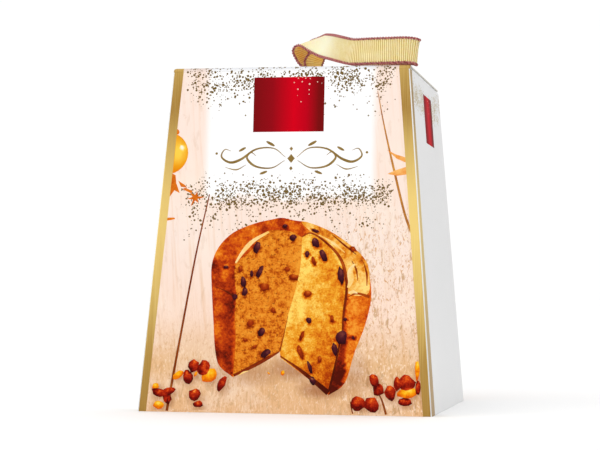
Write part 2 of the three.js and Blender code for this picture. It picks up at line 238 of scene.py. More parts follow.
class Nodes:
    """A node tree, with short calls that add a node and join it up."""

    def __init__(self, tree):
        self.tree = tree

    def add(self, kind, inputs=None, **settings):
        node = self.tree.nodes.new(kind)
        for name, value in settings.items():
            setattr(node, name, value)
        for socket, value in (inputs or {}).items():
            self.plug(node.inputs[socket], value)
        return node

    def plug(self, socket, value):
        if isinstance(value, bpy.types.NodeSocket):
            self.tree.links.new(value, socket)
        else:
            socket.default_value = value

    def math(self, operation, first, second=0.0, third=None, clamp=False):
        values = {0: first, 1: second}
        if third is not None:
            values[2] = third
        return self.add("ShaderNodeMath", values, operation=operation, use_clamp=clamp).outputs[0]

    def times(self, first, second, clamp=False):
        return self.math("MULTIPLY", first, second, clamp=clamp)

    def fade(self, value, start, end, low=0.0, high=1.0):
        """A smooth step from low at start to high at end."""
        node = self.add("ShaderNodeMapRange", {0: value}, interpolation_type="SMOOTHSTEP")
        rising = start < end
        a, b, c, d = (start, end, low, high) if rising else (end, start, high, low)
        for socket, number in zip(("From Min", "From Max", "To Min", "To Max"), (a, b, c, d)):
            node.inputs[socket].default_value = number
        return node.outputs[0]

    def ramp(self, value, *stops):
        """Stops are (place, colour), (place, red, green, blue) in display values or (place, grey)."""
        node = self.add("ShaderNodeValToRGB", {0: value})
        elements = node.color_ramp.elements
        while len(elements) < len(stops):
            elements.new(1.0)
        for element, (place, *shade) in zip(elements, stops):
            element.position = place
            if len(shade) == 3:
                element.color = tint(*shade)
            else:
                element.color = shade[0] if hasattr(shade[0], "__len__") else (*shade * 3, 1)
        return node.outputs[0]

    def blend(self, share, first, second, mode="MIX"):
        node = self.add("ShaderNodeMix", data_type="RGBA", blend_type=mode)
        self.plug(node.inputs[0], share)
        self.plug(node.inputs[6], first)
        self.plug(node.inputs[7], second)
        return node.outputs[2]

    def noise(self, vector, scale, detail=3.0, roughness=0.5, distortion=0.0):
        values = {"Vector": vector, "Scale": scale, "Detail": detail, "Roughness": roughness,
                  "Distortion": distortion}
        return self.add("ShaderNodeTexNoise", values).outputs[0]

    def stretch(self, vector, scale=(1, 1, 1), turn=(0, 0, 0), shift=(0, 0, 0)):
        values = {"Vector": vector, "Scale": scale, "Rotation": turn, "Location": shift}
        return self.add("ShaderNodeMapping", values).outputs[0]

    def split(self, vector):
        return self.add("ShaderNodeSeparateXYZ", {0: vector}).outputs

    def group(self, name, inputs):
        node = self.add("ShaderNodeGroup", node_tree=bpy.data.node_groups[name])
        for socket, value in inputs.items():
            self.plug(node.inputs[socket], value)
        return node.outputs

    def places(self, uv=None):
        if uv:
            return self.add("ShaderNodeUVMap", uv_map=uv).outputs[0]
        return self.add("ShaderNodeTexCoord").outputs["Object"]

    def printed(self):
        """The print map's vector, and how far across and up its wall a point lies, in metres."""
        places = self.places("print")
        across, up, _ = self.split(places)
        return places, across, up

    def attribute(self, name):
        return self.add("ShaderNodeAttribute", attribute_name=name).outputs["Fac"]

    def bump(self, height, strength, distance):
        values = {"Height": height, "Strength": strength, "Distance": distance}
        return self.add("ShaderNodeBump", values).outputs[0]

    def streaks(self, places, across, along):
        given = {"Vector": places, "Across": across, "Along": along}
        return self.group("Brushed streaks", given)["Streak"]

    def tooth(self, places, grain):
        return self.group("Paper tooth", {"Vector": places, "Grain": grain})

    def relief(self, base, gloss, height, strength, distance):
        """What feeds a shader: its colour, its roughness, and a bump from height."""
        values = {"Roughness": gloss, "Normal": self.bump(height, strength, distance)}
        return {"Base Color": base, **values} if base else values


def surface(name, paint, look, **values):
    """A material with one Principled shader. paint(nodes, look) returns what feeds its sockets."""
    material = bpy.data.materials.new(name)
    material.use_nodes = True
    material.node_tree.nodes.clear()
    nodes = Nodes(material.node_tree)
    shader = nodes.add("ShaderNodeBsdfPrincipled")
    output = nodes.add("ShaderNodeOutputMaterial")
    material.node_tree.links.new(shader.outputs[0], output.inputs[0])
    for socket, value in {**values, **paint(nodes, look)}.items():
        nodes.plug(shader.inputs[socket], value)
    return material


def start_group(name, inputs, outputs):
    """A new node group. Each input is (name, socket type, default), and each output (name, type)."""
    tree = bpy.data.node_groups.new(name, "ShaderNodeTree")
    for label, kind, default in inputs:
        socket = tree.interface.new_socket(name=label, in_out="INPUT", socket_type=kind)
        if default is not None:
            socket.default_value = default
    for label, kind in outputs:
        tree.interface.new_socket(name=label, in_out="OUTPUT", socket_type=kind)
    nodes = Nodes(tree)
    return nodes, nodes.add("NodeGroupInput").outputs, nodes.add("NodeGroupOutput").inputs


def make_groups():
    """Effects that several materials share."""
    nodes, given, out = start_group(
        "Paper tooth",
        [("Vector", "NodeSocketVector", None), ("Grain", "NodeSocketFloat", 900.0)],
        [("Height", "NodeSocketFloat"), ("Mottle", "NodeSocketFloat")],
    )
    fine = nodes.noise(given["Vector"], given["Grain"], 4, 0.65)
    broad = nodes.noise(given["Vector"], 38.0, 3, 0.55)
    nodes.plug(out["Height"], fine)
    nodes.plug(out["Mottle"], broad)

    nodes, given, out = start_group(
        "Sparkle scatter",
        [("Vector", "NodeSocketVector", None), ("Cells", "NodeSocketFloat", 400.0),
         ("Density", "NodeSocketFloat", 0.5), ("Least", "NodeSocketFloat", 0.1),
         ("Most", "NodeSocketFloat", 0.4)],
        [("Mask", "NodeSocketFloat")],
    )
    cell = nodes.add(
        "ShaderNodeTexVoronoi", {"Vector": given["Vector"], "Scale": given["Cells"], "Exponent": 1.7},
        voronoi_dimensions="2D", distance="MINKOWSKI",
    )
    chance = nodes.add("ShaderNodeSeparateColor", {0: cell.outputs["Color"]}).outputs
    there = nodes.math("LESS_THAN", chance[0], given["Density"])
    spread = nodes.math("SUBTRACT", given["Most"], given["Least"])
    reach = nodes.math("MULTIPLY_ADD", chance[1], spread, given["Least"])
    near = nodes.math("LESS_THAN", cell.outputs["Distance"], reach)
    nodes.plug(out["Mask"], nodes.times(there, near))

    nodes, given, out = start_group(
        "Brushed streaks",
        [("Vector", "NodeSocketVector", None), ("Across", "NodeSocketFloat", 900.0),
         ("Along", "NodeSocketFloat", 14.0)],
        [("Streak", "NodeSocketFloat")],
    )
    scale = nodes.add("ShaderNodeCombineXYZ", {0: given["Across"], 1: given["Along"], 2: given["Across"]})
    drawn = nodes.add("ShaderNodeVectorMath", {0: given["Vector"], 1: scale.outputs[0]}, operation="MULTIPLY")
    nodes.plug(out["Streak"], nodes.noise(drawn.outputs[0], 1.0, 5, 0.6))


# ---- Materials ----


def sparkle_mask(nodes, places, density):
    """Large and small sparkles together."""
    mask = None
    for cells, turn, share, least, most in ((290.0, 0.3, 0.7, 0.13, 0.27), (400.0, 1.1, 1.0, 0.13, 0.32),
                                            (430.0, 2.0, 1.0, 0.13, 0.34), (560.0, 0.7, 1.0, 0.12, 0.34),
                                            (820.0, 1.6, 0.9, 0.14, 0.34)):
        given = {"Vector": nodes.stretch(places, (1, 1, 1), (0, 0, turn)), "Cells": cells,
                 "Density": nodes.times(density, share), "Least": least, "Most": most}
        more = nodes.group("Sparkle scatter", given)["Mask"]
        mask = nodes.math("MAXIMUM", mask, more) if mask else more
    return mask


def board_finish(nodes, places, roughness, depth=0.12):
    """Varnished board: a faint tooth in the surface and an uneven gloss."""
    tooth = nodes.tooth(places, 1300.0)
    gloss = nodes.fade(tooth["Mottle"], 0.3, 0.7, roughness - 0.06, roughness + 0.06)
    return nodes.relief(None, gloss, tooth["Height"], depth, 0.05 * MM)


def paint_planks(nodes, colours):
    places, across, up = nodes.printed()
    share = nodes.math("DIVIDE", up, LID_TOP)
    warmth = nodes.ramp(
        share, (0.0, colours.plank_low), (0.14, 233, 190, 142), (0.28, 251, 222, 203), (0.5, 250, 230, 218),
        (0.7, 252, 229, 215), (1.0, colours.plank_high))
    # Grain, a mottle, and dark flecks and pale chips where the wood is worn, low and at the right.
    drawn = nodes.stretch(places, (1, 1, 1), (0, 0, -0.09))
    streak = nodes.streaks(drawn, 420.0, 16.0)
    grain = nodes.times(nodes.fade(streak, 0.46, 0.74), nodes.fade(up, 0.15, 0.0, 0.25, 0.8))
    wood = nodes.blend(grain, warmth, tint(226, 176, 122))
    mottle = nodes.noise(places, 26.0, 3, 0.6)
    wood = nodes.blend(nodes.fade(mottle, 0.42, 0.75, 0.0, 0.5), wood, tint(255, 238, 222))
    knots = nodes.noise(nodes.stretch(places, (260, 95, 1), (0, 0, 0.35)), 1.0, 4, 0.62, 0.6)
    right = nodes.times(nodes.fade(across, 0.036, 0.05), nodes.fade(up, 0.13, 0.105))
    where = nodes.math("MAXIMUM", right, nodes.fade(up, 0.05, 0.02, 0.18, 0.55))
    flecks = nodes.times(nodes.fade(knots, 0.56, 0.66), where)
    wood = nodes.blend(nodes.times(flecks, 0.8), wood, tint(196, 152, 104))
    chips = nodes.noise(nodes.stretch(places, (640, 250, 1), (0, 0, 0.3)), 1.0, 3, 0.62, 1.6)
    worn = nodes.times(nodes.fade(across, 0.018, 0.04), nodes.fade(up, 0.14, 0.10))
    worn = nodes.math("MAXIMUM", worn, nodes.fade(up, 0.075, 0.03, 0.0, 0.7))
    for start, end, chip in ((0.54, 0.66, tint(218, 168, 118)), (0.46, 0.32, tint(254, 228, 202))):
        wood = nodes.blend(nodes.times(nodes.fade(chips, start, end), worn), wood, chip)

    # The white field, and the two bands of sparkles across it.
    ragged = nodes.noise(places, 120.0, 4, 0.6)
    edge = nodes.math("MULTIPLY_ADD", ragged, 0.016, up)
    field = nodes.times(nodes.fade(across, -0.0545, -0.0475), nodes.fade(across, 0.0565, 0.049))
    field = nodes.times(field, nodes.fade(edge, 0.134, 0.142))
    sheet = nodes.blend(field, wood, colours.glow)

    clumps = nodes.fade(nodes.noise(places, 70.0, 3, 0.6), 0.38, 0.56, 0.22, 1.0)
    band = nodes.ramp(
        nodes.math("DIVIDE", up, 0.24), (0.430, 0.0), (0.455, 0.07), (0.495, 0.14), (0.518, 0.3),
        (0.532, 0.85), (0.542, 1.0), (0.562, 1.0), (0.574, 0.5), (0.590, 0.1), (0.612, 0.0), (0.745, 0.0),
        (0.775, 0.06), (0.805, 0.17), (0.826, 0.5), (0.842, 0.95), (0.857, 0.9), (0.872, 0.4), (0.900, 0.2),
        (0.980, 0.0))
    inside = nodes.fade(nodes.math("ABSOLUTE", across), 0.067, 0.058)
    density = nodes.times(nodes.times(band, clumps), inside)
    # Plain lid behind the front crease, and a painted soft grey shade over the crease itself.
    sheet = nodes.blend(nodes.math("GREATER_THAN", up, LID_TOP + 1.2 * MM), sheet, colours.side_white)
    rolled = nodes.times(nodes.fade(up, 0.2076, 0.2112), nodes.fade(up, 0.2150, 0.2125))
    sheet = nodes.blend(nodes.times(rolled, 0.75), sheet, tint(206, 208, 214), "MULTIPLY")
    sheet = nodes.blend(sparkle_mask(nodes, places, density), sheet, colours.sparkle_ink)
    shade = nodes.times(nodes.attribute("shade"), 0.85)
    sheet = nodes.blend(shade, sheet, tint(168, 112, 58), "MULTIPLY")
    return {"Base Color": sheet, **board_finish(nodes, places, 0.38)}


def paint_gold(nodes, colours):
    places, across, up = nodes.printed()
    streak = nodes.streaks(places, 2200.0, 9.0)
    wander = nodes.math("MULTIPLY_ADD", nodes.math("SUBTRACT", streak, 0.5), 0.05, up)
    # Painted reflection: the foil is lighter at mid height and darker towards the foot and just below the
    # lid.
    tone = nodes.ramp(nodes.math("DIVIDE", wander, LID_TOP), (0.0, 0.1), (0.16, 0.2), (0.34, 0.74),
                      (0.52, 1.0), (0.62, 0.95), (0.78, 0.5), (0.88, 0.06), (1.0, 0.35))
    # Painted shade: the strips at negative across are darker.
    tone = nodes.times(tone, nodes.fade(across, 0.02, -0.02, 1.0, 0.84))
    base = nodes.blend(tone, colours.gold_shaded, colours.gold_lit)
    base = nodes.blend(nodes.fade(streak, 0.35, 0.75, 0.0, 0.12), base, tint(255, 236, 176), "SCREEN")
    return nodes.relief(base, nodes.fade(streak, 0.3, 0.7, 0.27, 0.4), streak, 0.25, 0.03 * MM)


def paint_crease(nodes, colours):
    """Foil with a pale line along the fold, partly rubbed wear and partly a painted highlight."""
    places, across, up = nodes.printed()
    # Painted reflection: lighter at mid height and darker towards the foot and the lid, as on the gold
    # strips.
    tone = nodes.ramp(nodes.math("DIVIDE", up, LID_TOP), (0.0, 0.15), (0.34, 0.7), (0.52, 0.98), (0.66, 0.9),
                      (0.88, 0.1), (1.0, 0.35))
    # The pale line along the fold is rubbed wear and a painted highlight together.
    wear = nodes.streaks(places, 700.0, 60.0)
    off = nodes.math("ABSOLUTE", nodes.math("SUBTRACT", across, 1.02 * MM))
    line = nodes.times(nodes.fade(off, 0.62 * MM, 0.34 * MM), nodes.fade(wear, 0.25, 0.5, 0.7, 1.0))
    base = nodes.blend(tone, colours.gold_shaded, colours.gold_lit)
    base = nodes.blend(line, base, tint(244, 246, 244))
    return {"Base Color": base, **board_finish(nodes, places, 0.45, 0.3)}


def paint_label(nodes, colours):
    places, across, up = nodes.printed()
    tone = nodes.ramp(
        nodes.math("MULTIPLY_ADD", across, 1 / 0.048, 0.5), (0.0, colours.label_dark), (0.28, 148, 10, 22),
        (0.56, colours.label_red), (0.72, 190, 2, 26), (0.88, 122, 14, 16), (1.0, colours.label_dark))
    dust = nodes.times(nodes.fade(up, 0.186, 0.203), nodes.fade(across, -0.008, 0.012))
    given = {"Vector": places, "Cells": 420.0, "Density": nodes.times(dust, 0.35),
             "Least": 0.08, "Most": 0.26}
    tone = nodes.blend(nodes.times(nodes.group("Sparkle scatter", given)["Mask"], 0.75),
                       tone, tint(250, 214, 196))
    return {"Base Color": tone, **board_finish(nodes, places, 0.45)}


def paint_side(nodes, colours):
    places, across, up = nodes.printed()
    arc = nodes.math("MULTIPLY_ADD", nodes.times(across, across), 1.2, 0.192)
    off = nodes.math("ABSOLUTE", nodes.math("SUBTRACT", up, arc))
    density = nodes.fade(off, 0.012, 0.001)
    density = nodes.times(density, nodes.fade(nodes.noise(places, 60.0, 2), 0.35, 0.6))
    sheet = nodes.blend(sparkle_mask(nodes, places, density), colours.side_white, tint(196, 176, 128))
    return {"Base Color": sheet, **board_finish(nodes, places, 0.42)}


def paint_fibre(nodes, shade):
    """Uncoated board: flecks and a felted surface."""
    places = nodes.places()
    tooth = nodes.tooth(places, 900.0)
    flecks = nodes.noise(nodes.stretch(places, (500, 2400, 900)), 1.0, 3, 0.6)
    dark = tuple(0.72 * c for c in shade[:3]) + (1,)
    base = nodes.blend(nodes.fade(flecks, 0.60, 0.72, 0.0, 0.35), shade, dark)
    base = nodes.blend(nodes.fade(tooth["Mottle"], 0.35, 0.7, 0.0, 0.12), base, dark)
    gloss = nodes.fade(tooth["Mottle"], 0.3, 0.7, 0.78, 0.92)
    return nodes.relief(base, gloss, tooth["Height"], 0.3, 0.08 * MM)


def paint_picture(nodes, look):
    """Printed food: the tone attribute and two scales of noise pick a colour from the stops."""
    (fine, coarse, spread, holes), hole_colour, stops = look
    places = nodes.places("print")
    small, large = nodes.noise(places, fine, 4, 0.65), nodes.noise(places, coarse, 3, 0.55)
    wobble = nodes.times(nodes.math("SUBTRACT", nodes.math("ADD", small, large), 1.0), spread)
    base = nodes.ramp(nodes.math("ADD", nodes.attribute("tone"), wobble), *stops)
    if holes:
        pits = nodes.fade(nodes.noise(places, 520.0, 2, 0.5), 0.60, 0.68, 0.0, holes)
        base = nodes.blend(pits, base, tint(*hole_colour))
    return {"Base Color": base, "Specular IOR Level": 0.03, **board_finish(nodes, places, 0.4)}


def paint_weave(nodes, look):
    """Ribs across the ribbon and threads along it, from its own map in metres."""
    along, across, _ = nodes.split(nodes.places("weave"))
    uneven = nodes.noise(nodes.places("weave"), 160.0, 3, 0.6)
    slip = nodes.math("MULTIPLY_ADD", uneven, 0.0006, along)
    rib = nodes.math("SINE", nodes.times(slip, TURN / (1.30 * MM)))
    thread = nodes.math("SINE", nodes.times(across, TURN / (0.62 * MM)))
    relief = nodes.math("MULTIPLY_ADD", thread, 0.35, rib)
    # Painted shade: threads between the ribs are darker than those on top, here and in the warm gold below.
    hollow_shade_mask = nodes.fade(relief, 0.5, -1.1)
    base = nodes.blend(hollow_shade_mask, look.lit, look.deep)
    # Painted light from the ribbon's attribute: where it is positive, a warm painted shade in deeper gold;
    # where negative, a painted highlight in pale cream.
    painted_shade_and_highlight = nodes.attribute("painted_shade_and_highlight")
    gold = nodes.blend(hollow_shade_mask, tint(255, 212, 104), tint(224, 156, 52))
    base = nodes.blend(nodes.times(painted_shade_and_highlight, 0.9, clamp=True), base, gold)
    base = nodes.blend(nodes.times(painted_shade_and_highlight, -0.8, clamp=True), base, tint(255, 248, 214))
    base = nodes.blend(nodes.fade(uneven, 0.4, 0.7, 0.0, 0.18), base, tint(255, 250, 222))
    return nodes.relief(base, nodes.fade(hollow_shade_mask, 0.0, 1.0, 0.5, 0.75), relief, 0.5, 0.10 * MM)


def paint_braid(nodes, look):
    along, across, _ = nodes.split(nodes.places("weave"))
    ply = nodes.math("SINE", nodes.times(nodes.math("MULTIPLY_ADD", across, 1.5, along), TURN / (0.42 * MM)))
    worn = nodes.noise(nodes.places(), 900.0, 2, 0.6)
    # Painted highlight: the crests of the ply are lighter, in patches from the noise; the second strand is
    # pinker throughout.
    light = nodes.times(nodes.fade(worn, 0.42, 0.62), nodes.fade(ply, -0.3, 0.9, 0.25, 0.8))
    second = nodes.math("GREATER_THAN", across, SECOND_STRAND / 2)
    base = nodes.blend(nodes.math("MULTIPLY_ADD", second, 0.4, light, clamp=True), look.maroon, look.pink)
    return nodes.relief(base, nodes.fade(ply, -1.0, 1.0, 0.72, 0.5), ply, 0.5, 0.06 * MM)


def paint_crust(nodes, look):
    places = nodes.places()
    broad = nodes.noise(places, 42.0, 4, 0.6)
    fine = nodes.noise(places, 420.0, 5, 0.7)
    blister = nodes.add("ShaderNodeTexVoronoi", {"Vector": places, "Scale": 210.0}).outputs["Distance"]
    tone = nodes.math("ADD", nodes.times(nodes.attribute("bake"), 0.75),
                      nodes.times(nodes.math("SUBTRACT", broad, 0.5), 0.55))
    base = nodes.ramp(tone, (0.0, look.crust_light), (0.3, look.crust), (0.62, 128, 62, 26),
                      (1.0, look.crust_dark))
    base = nodes.blend(nodes.fade(fine, 0.5, 0.72, 0.0, 0.4), base, tint(214, 146, 74))
    relief = nodes.math("MULTIPLY_ADD", blister, 0.5, fine)
    return nodes.relief(base, nodes.fade(broad, 0.3, 0.7, 0.5, 0.78), relief, 0.6, 0.5 * MM)


def paint_mould(nodes, look):
    places = nodes.places()
    _, _, up = nodes.split(places)
    tooth = nodes.tooth(places, 1100.0)
    band = nodes.math("SINE", nodes.times(up, TURN / (6.2 * MM)))
    lines = nodes.math("GREATER_THAN", band, 0.9)
    ends = nodes.math("MAXIMUM", nodes.math("LESS_THAN", up, 0.016), nodes.math("GREATER_THAN", up, 0.084))
    stain = nodes.fade(tooth["Mottle"], 0.45, 0.7, 0.0, 0.35)
    base = nodes.blend(stain, look.mould, tint(84, 42, 22))
    base = nodes.blend(nodes.times(lines, ends), base, look.mould_gold)
    gloss = nodes.fade(tooth["Mottle"], 0.3, 0.7, 0.62, 0.82)
    return nodes.relief(base, gloss, tooth["Height"], 0.3, 0.08 * MM)


def paint_film(nodes, _):
    ripple = nodes.noise(nodes.stretch(nodes.places(), (60, 60, 24)), 1.0, 4, 0.65, 0.8)
    return nodes.relief(None, nodes.fade(ripple, 0.35, 0.65, 0.06, 0.2), ripple, 0.8, 0.6 * MM)


def paint_tie(nodes, look):
    scuff = nodes.noise(nodes.places(), 1500.0, 3, 0.6)
    base = nodes.blend(nodes.fade(scuff, 0.4, 0.65), look.tie, tint(250, 224, 150))
    return nodes.relief(base, nodes.fade(scuff, 0.3, 0.7, 0.25, 0.5), scuff, 0.3, 0.05 * MM)


def paint_floor(nodes, shade):
    soft = nodes.noise(nodes.places(), 3.0, 2, 0.5)
    return {"Base Color": shade, "Roughness": nodes.fade(soft, 0.3, 0.7, 0.82, 0.9)}


# Each printed picture: noise scales, spread and share of holes, the holes' colour, and the tone's stops.
PICTURES = {
    "crust": ((620, 150, 1.0, 0), None, (
        (0.0, 84, 18, 6), (0.25, 146, 36, 8), (0.5, 194, 66, 12), (0.75, 228, 112, 18), (1.0, 246, 158, 50))),
    "crown": ((560, 180, 1.1, 0), None, (
        (0.0, 128, 44, 8), (0.28, 206, 104, 18), (0.55, 238, 156, 44), (1.0, 255, 218, 124))),
    "rim": ((700, 160, 0.5, 0), None, ((0.0, 74, 18, 6), (0.5, 128, 40, 10), (1.0, 186, 82, 20))),
    "cream": ((700, 200, 0.5, 0), None, ((0.0, 232, 150, 60), (0.5, 250, 202, 110), (1.0, 255, 238, 190))),
    "crumb_left": ((900, 300, 1.7, 0.75), (140, 48, 4), (
        (0.0, 140, 50, 6), (0.3, 190, 86, 10), (0.6, 226, 130, 30), (1.0, 240, 156, 48))),
    "crumb_right": ((900, 240, 1.1, 0.5), (206, 104, 16), (
        (0.0, 170, 58, 4), (0.3, 216, 110, 14), (0.6, 240, 162, 38), (1.0, 255, 218, 104))),
    "raisin": ((1300, 400, 0.4, 0), None, (
        (0.0, 40, 10, 18), (0.5, 78, 26, 36), (0.85, 120, 56, 50), (1.0, 196, 132, 92))),
    "sultana": ((1300, 400, 0.4, 0), None, ((0.0, 104, 20, 4), (0.5, 162, 52, 8), (1.0, 214, 104, 30))),
    "berry": ((1000, 330, 0.8, 0), None, (
        (0.0, 74, 8, 6), (0.3, 136, 20, 6), (0.6, 190, 48, 14), (0.85, 232, 96, 24), (1.0, 250, 160, 70))),
    "candied": ((700, 240, 0.8, 0), None, (
        (0.0, 214, 84, 4), (0.35, 244, 140, 10), (0.65, 252, 184, 24), (1.0, 255, 226, 90))),
    "bauble": ((320, 90, 0.12, 0), None, (
        (0.0, 226, 108, 4), (0.35, 240, 160, 24), (0.75, 254, 212, 78), (1.0, 255, 250, 226))),
    "twig": ((800, 260, 0.6, 0), None, ((0.0, 196, 84, 10), (0.5, 232, 128, 30), (1.0, 250, 190, 110))),
    "gap": ((500, 90, 0.5, 0), None, ((0.0, 104, 36, 8), (0.45, 140, 66, 22), (1.0, 206, 144, 62))),
}


def make_materials(context):
    """Every finish, once."""
    make_groups()
    scene = context.scene
    colours, ribbon, food = scene.print_colours, scene.ribbon_look, scene.food_look
    gloss = "Specular IOR Level"
    surface("printed_planks", paint_planks, colours, **{gloss: 0.1})
    surface("gold_foil", paint_gold, colours, Metallic=0.1, **{gloss: 0.1})
    surface("crease_wear_and_highlight", paint_crease, colours, **{gloss: 0.1})
    surface("red_label", paint_label, colours, **{gloss: 0.02})
    surface("plain_side", paint_side, colours, **{gloss: 0.1})
    surface("inner_board", paint_fibre, colours.inside_grey)
    surface("cut_edge", paint_fibre, colours.raw_edge)
    for name, look in PICTURES.items():
        surface("picture_" + name, paint_picture, look)
    ink = ((0.0, 126, 98, 44), (0.5, 142, 114, 60), (1.0, 168, 140, 84))
    surface("gold_ink", paint_picture, ((500, 120, 0.4, 0), None, ink), Metallic=0.2)
    surface("ribbon_ground", paint_weave, ribbon, **{
        "Sheen Weight": 0.15, "Sheen Roughness": 0.4, gloss: 0.15, "Subsurface Weight": 0.5,
        "Subsurface Radius": (1.0, 0.7, 0.3), "Subsurface Scale": 1.2 * MM})
    surface("ribbon_braid", paint_braid, ribbon, **{"Sheen Weight": 0.3, "Sheen Roughness": 0.4})
    surface("crust_finish", paint_crust, food)
    surface("mould_finish", paint_mould, food)
    surface("film_finish", paint_film, None, **{
        "Base Color": tint(240, 244, 246), "Alpha": 0.08, "Coat Weight": 0.3, "Coat Roughness": 0.05})
    surface("tie_wire", paint_tie, food, Metallic=0.85)


def finish_of(name):
    return bpy.data.materials[name]


# ---- Modelling helpers ----


def pick(obj):
    """Makes obj the one selected, active object."""
    for other in bpy.context.view_layer.objects:
        other.select_set(False)
    obj.select_set(True)
    bpy.context.view_layer.objects.active = obj
    return obj


def edit(obj):
    pick(obj)
    bpy.ops.object.mode_set(mode="EDIT")
    bpy.ops.mesh.select_all(action="DESELECT")
    return bmesh.from_edit_mesh(obj.data)


def leave_edit():
    bpy.ops.object.mode_set(mode="OBJECT")


def choose(obj, wanted, mode="VERT"):
    """Selects the vertices or faces of the mesh being edited for which wanted(element) holds."""
    bpy.ops.mesh.select_mode(type=mode)
    mesh = bmesh.from_edit_mesh(obj.data)
    for element in mesh.verts if mode == "VERT" else mesh.faces:
        element.select_set(bool(wanted(element)))
    mesh.select_flush_mode()
    bmesh.update_edit_mesh(obj.data)


def settle(obj, name):
    """Names a new primitive and puts its place and size into its mesh."""
    pick(obj)
    obj.name = obj.data.name = name
    bpy.ops.object.transform_apply(location=True, rotation=True, scale=True)
    return obj


def modify(obj, kind, **settings):
    pick(obj)
    modifier = obj.modifiers.new(kind.title(), kind)
    for name, value in settings.items():
        setattr(modifier, name, value)
    bpy.ops.object.modifier_apply(modifier=modifier.name)


def add_to_scene(name, data):
    obj = bpy.data.objects.new(name, data)
    bpy.context.scene.collection.objects.link(obj)
    return obj


def mesh_object(name, points, faces):
    mesh = bpy.data.meshes.new(name)
    mesh.from_pydata([tuple(p) for p in points], [], faces)
    mesh.update()
    return pick(add_to_scene(name, mesh))


def treat(obj, operator, **settings):
    """Runs one mesh operator on the whole of obj."""
    edit(obj)
    bpy.ops.mesh.select_all(action="SELECT")
    operator(**settings)
    leave_edit()


def wear(obj, *names):
    """Gives obj these finishes, in order."""
    for name in names:
        obj.data.materials.append(finish_of(name))


def rewear(node):
    """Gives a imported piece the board's inner finish in place of its own."""
    node.data.materials.clear()
    wear(node, "inner_board")


def smooth(obj, degrees):
    pick(obj)
    bpy.ops.object.shade_smooth_by_angle(angle=math.radians(degrees))


def lay_map(obj, places, name="print"):
    """Fills a map from one place for each vertex."""
    layer = obj.data.uv_layers.get(name) or obj.data.uv_layers.new(name=name)
    for loop in obj.data.loops:
        layer.data[loop.index].uv = places[loop.vertex_index]


def map_print(obj, across_and_up):
    """Fills the print map from a function of each vertex's place."""
    lay_map(obj, [across_and_up(vertex.co) for vertex in obj.data.vertices])


def keep_values(obj, name, values):
    """Stores one value for each vertex, for the finishes to read."""
    obj.data.attributes.new(name, "FLOAT", "POINT").data.foreach_set("value", values)


def grid(rows, columns, first=0):
    """Faces between rows of points, where each row has this many."""
    starts = (first + i * columns + k for i in range(rows - 1) for k in range(columns - 1))
    return [[a, a + 1, a + columns + 1, a + columns] for a in starts]


def curve_through(points, steps=6, closed=False):
    """Points on a smooth curve through these."""
    points = [Vector(p) for p in points]
    count = len(points)
    out = []
    for i in range(count if closed else count - 1):
        if closed:
            a, b, c, d = (points[(i + k) % count] for k in (-1, 0, 1, 2))
        else:
            b, c = points[i], points[i + 1]
            a = points[i - 1] if i else 2 * b - c
            d = points[i + 2] if i + 2 < count else 2 * c - b
        for k in range(steps):
            t = k / steps
            out.append(0.5 * (2 * b + (c - a) * t + (2 * a - 5 * b + 4 * c - d) * t * t
                              + (3 * b - a - 3 * c + d) * t * t * t))
    if not closed:
        out.append(points[-1])
    return out


# ---- Printed artwork, in millimetres across and up a wall ----


def half_at(z):
    return BASE_HALF - LEAN * z


def stroke(points, start, middle, end=0.2):
    """The outline of a pen stroke through points, with its width at its start, middle and end."""
    line = curve_through(points, 5)
    left, right = [], []
    for i, p in enumerate(line):
        t = i / (len(line) - 1)
        way = (line[min(i + 1, len(line) - 1)] - line[max(i - 1, 0)]).normalized()
        width = start + (middle - start) * min(1, 2 * t) if t < 0.5 else middle + (end - middle) * (2 * t - 1)
        side = Vector((-way.y, way.x)) * width / 2
        left.append(p + side)
        right.append(p - side)
    return left + right[::-1]


def ring(u, z, across, up, count, start=0.0):
    """Points spread evenly round an oval."""
    angles = (start + TURN * k / count for k in range(count))
    return [(u + across * math.cos(a), z + up * math.sin(a)) for a in angles]


def blob(u, z, across, up, turn=0.0, rough=0.18, sides=10, seed=0):
    """A closed, slightly uneven oval."""
    draw = random.Random(seed * 7919 + round(u * 31) + round(z * 17))
    out = []
    for i in range(sides):
        angle, reach = TURN * i / sides, 1 + rough * (draw.random() - 0.5) * 2
        x, y = across * reach * math.cos(angle), up * reach * math.sin(angle)
        out.append(Vector((u + x * math.cos(turn) - y * math.sin(turn),
                           z + x * math.sin(turn) + y * math.cos(turn))))
    return out


def spiky(u, z, reach, points, seed):
    """A ragged star, as of dried wood or peel."""
    draw = random.Random(seed)
    out = []
    for i in range(2 * points):
        angle = TURN * i / (2 * points) + 0.3 * draw.random()
        length = reach * (0.75 + 0.5 * draw.random()) if i % 2 == 0 else reach * 0.32
        out.append(Vector((u + length * math.cos(angle), z + length * math.sin(angle))))
    return out


# The pictured loaf, with a wedge cut out of its front.
LOAF_OUTLINE = [
    (-31, 21.5), (-39.5, 28), (-42.5, 38), (-44, 55), (-45.5, 74), (-46, 89), (-42, 100), (-33, 109),
    (-20, 114.5), (-9, 117), (-3, 118), (4, 116.5), (13, 115), (25, 110.5), (40, 101), (49, 92),
    (51.5, 82), (52.5, 69), (49, 53), (43, 37), (37.5, 19), (28, 11.7),
]
LOAF_NOTCH = [(10, 25), (-2, 33.4), (-2.5, 37)]
CUT_TOP_LEFT = [(9.7, 106), (3, 109.5), (-9.4, 110.4), (-17.5, 106), (-21.5, 98), (-30.5, 90.5)]
CUT_EDGE_LEFT = [(-31.6, 82), (-30.2, 71), (-30.8, 59), (-29.8, 43), (-31, 21.5)]
CUT_FOLD = [(-2.5, 37), (-0.7, 45.5), (2.1, 59), (6.4, 74.5), (9.2, 90), (9.7, 106)]
CUT_EDGE_RIGHT = [
    (15.5, 108.8), (25.5, 102.5), (33, 94.5), (36.6, 85.6), (38, 75), (36.3, 60), (35.8, 48), (32, 29),
    (28, 11.7),
]

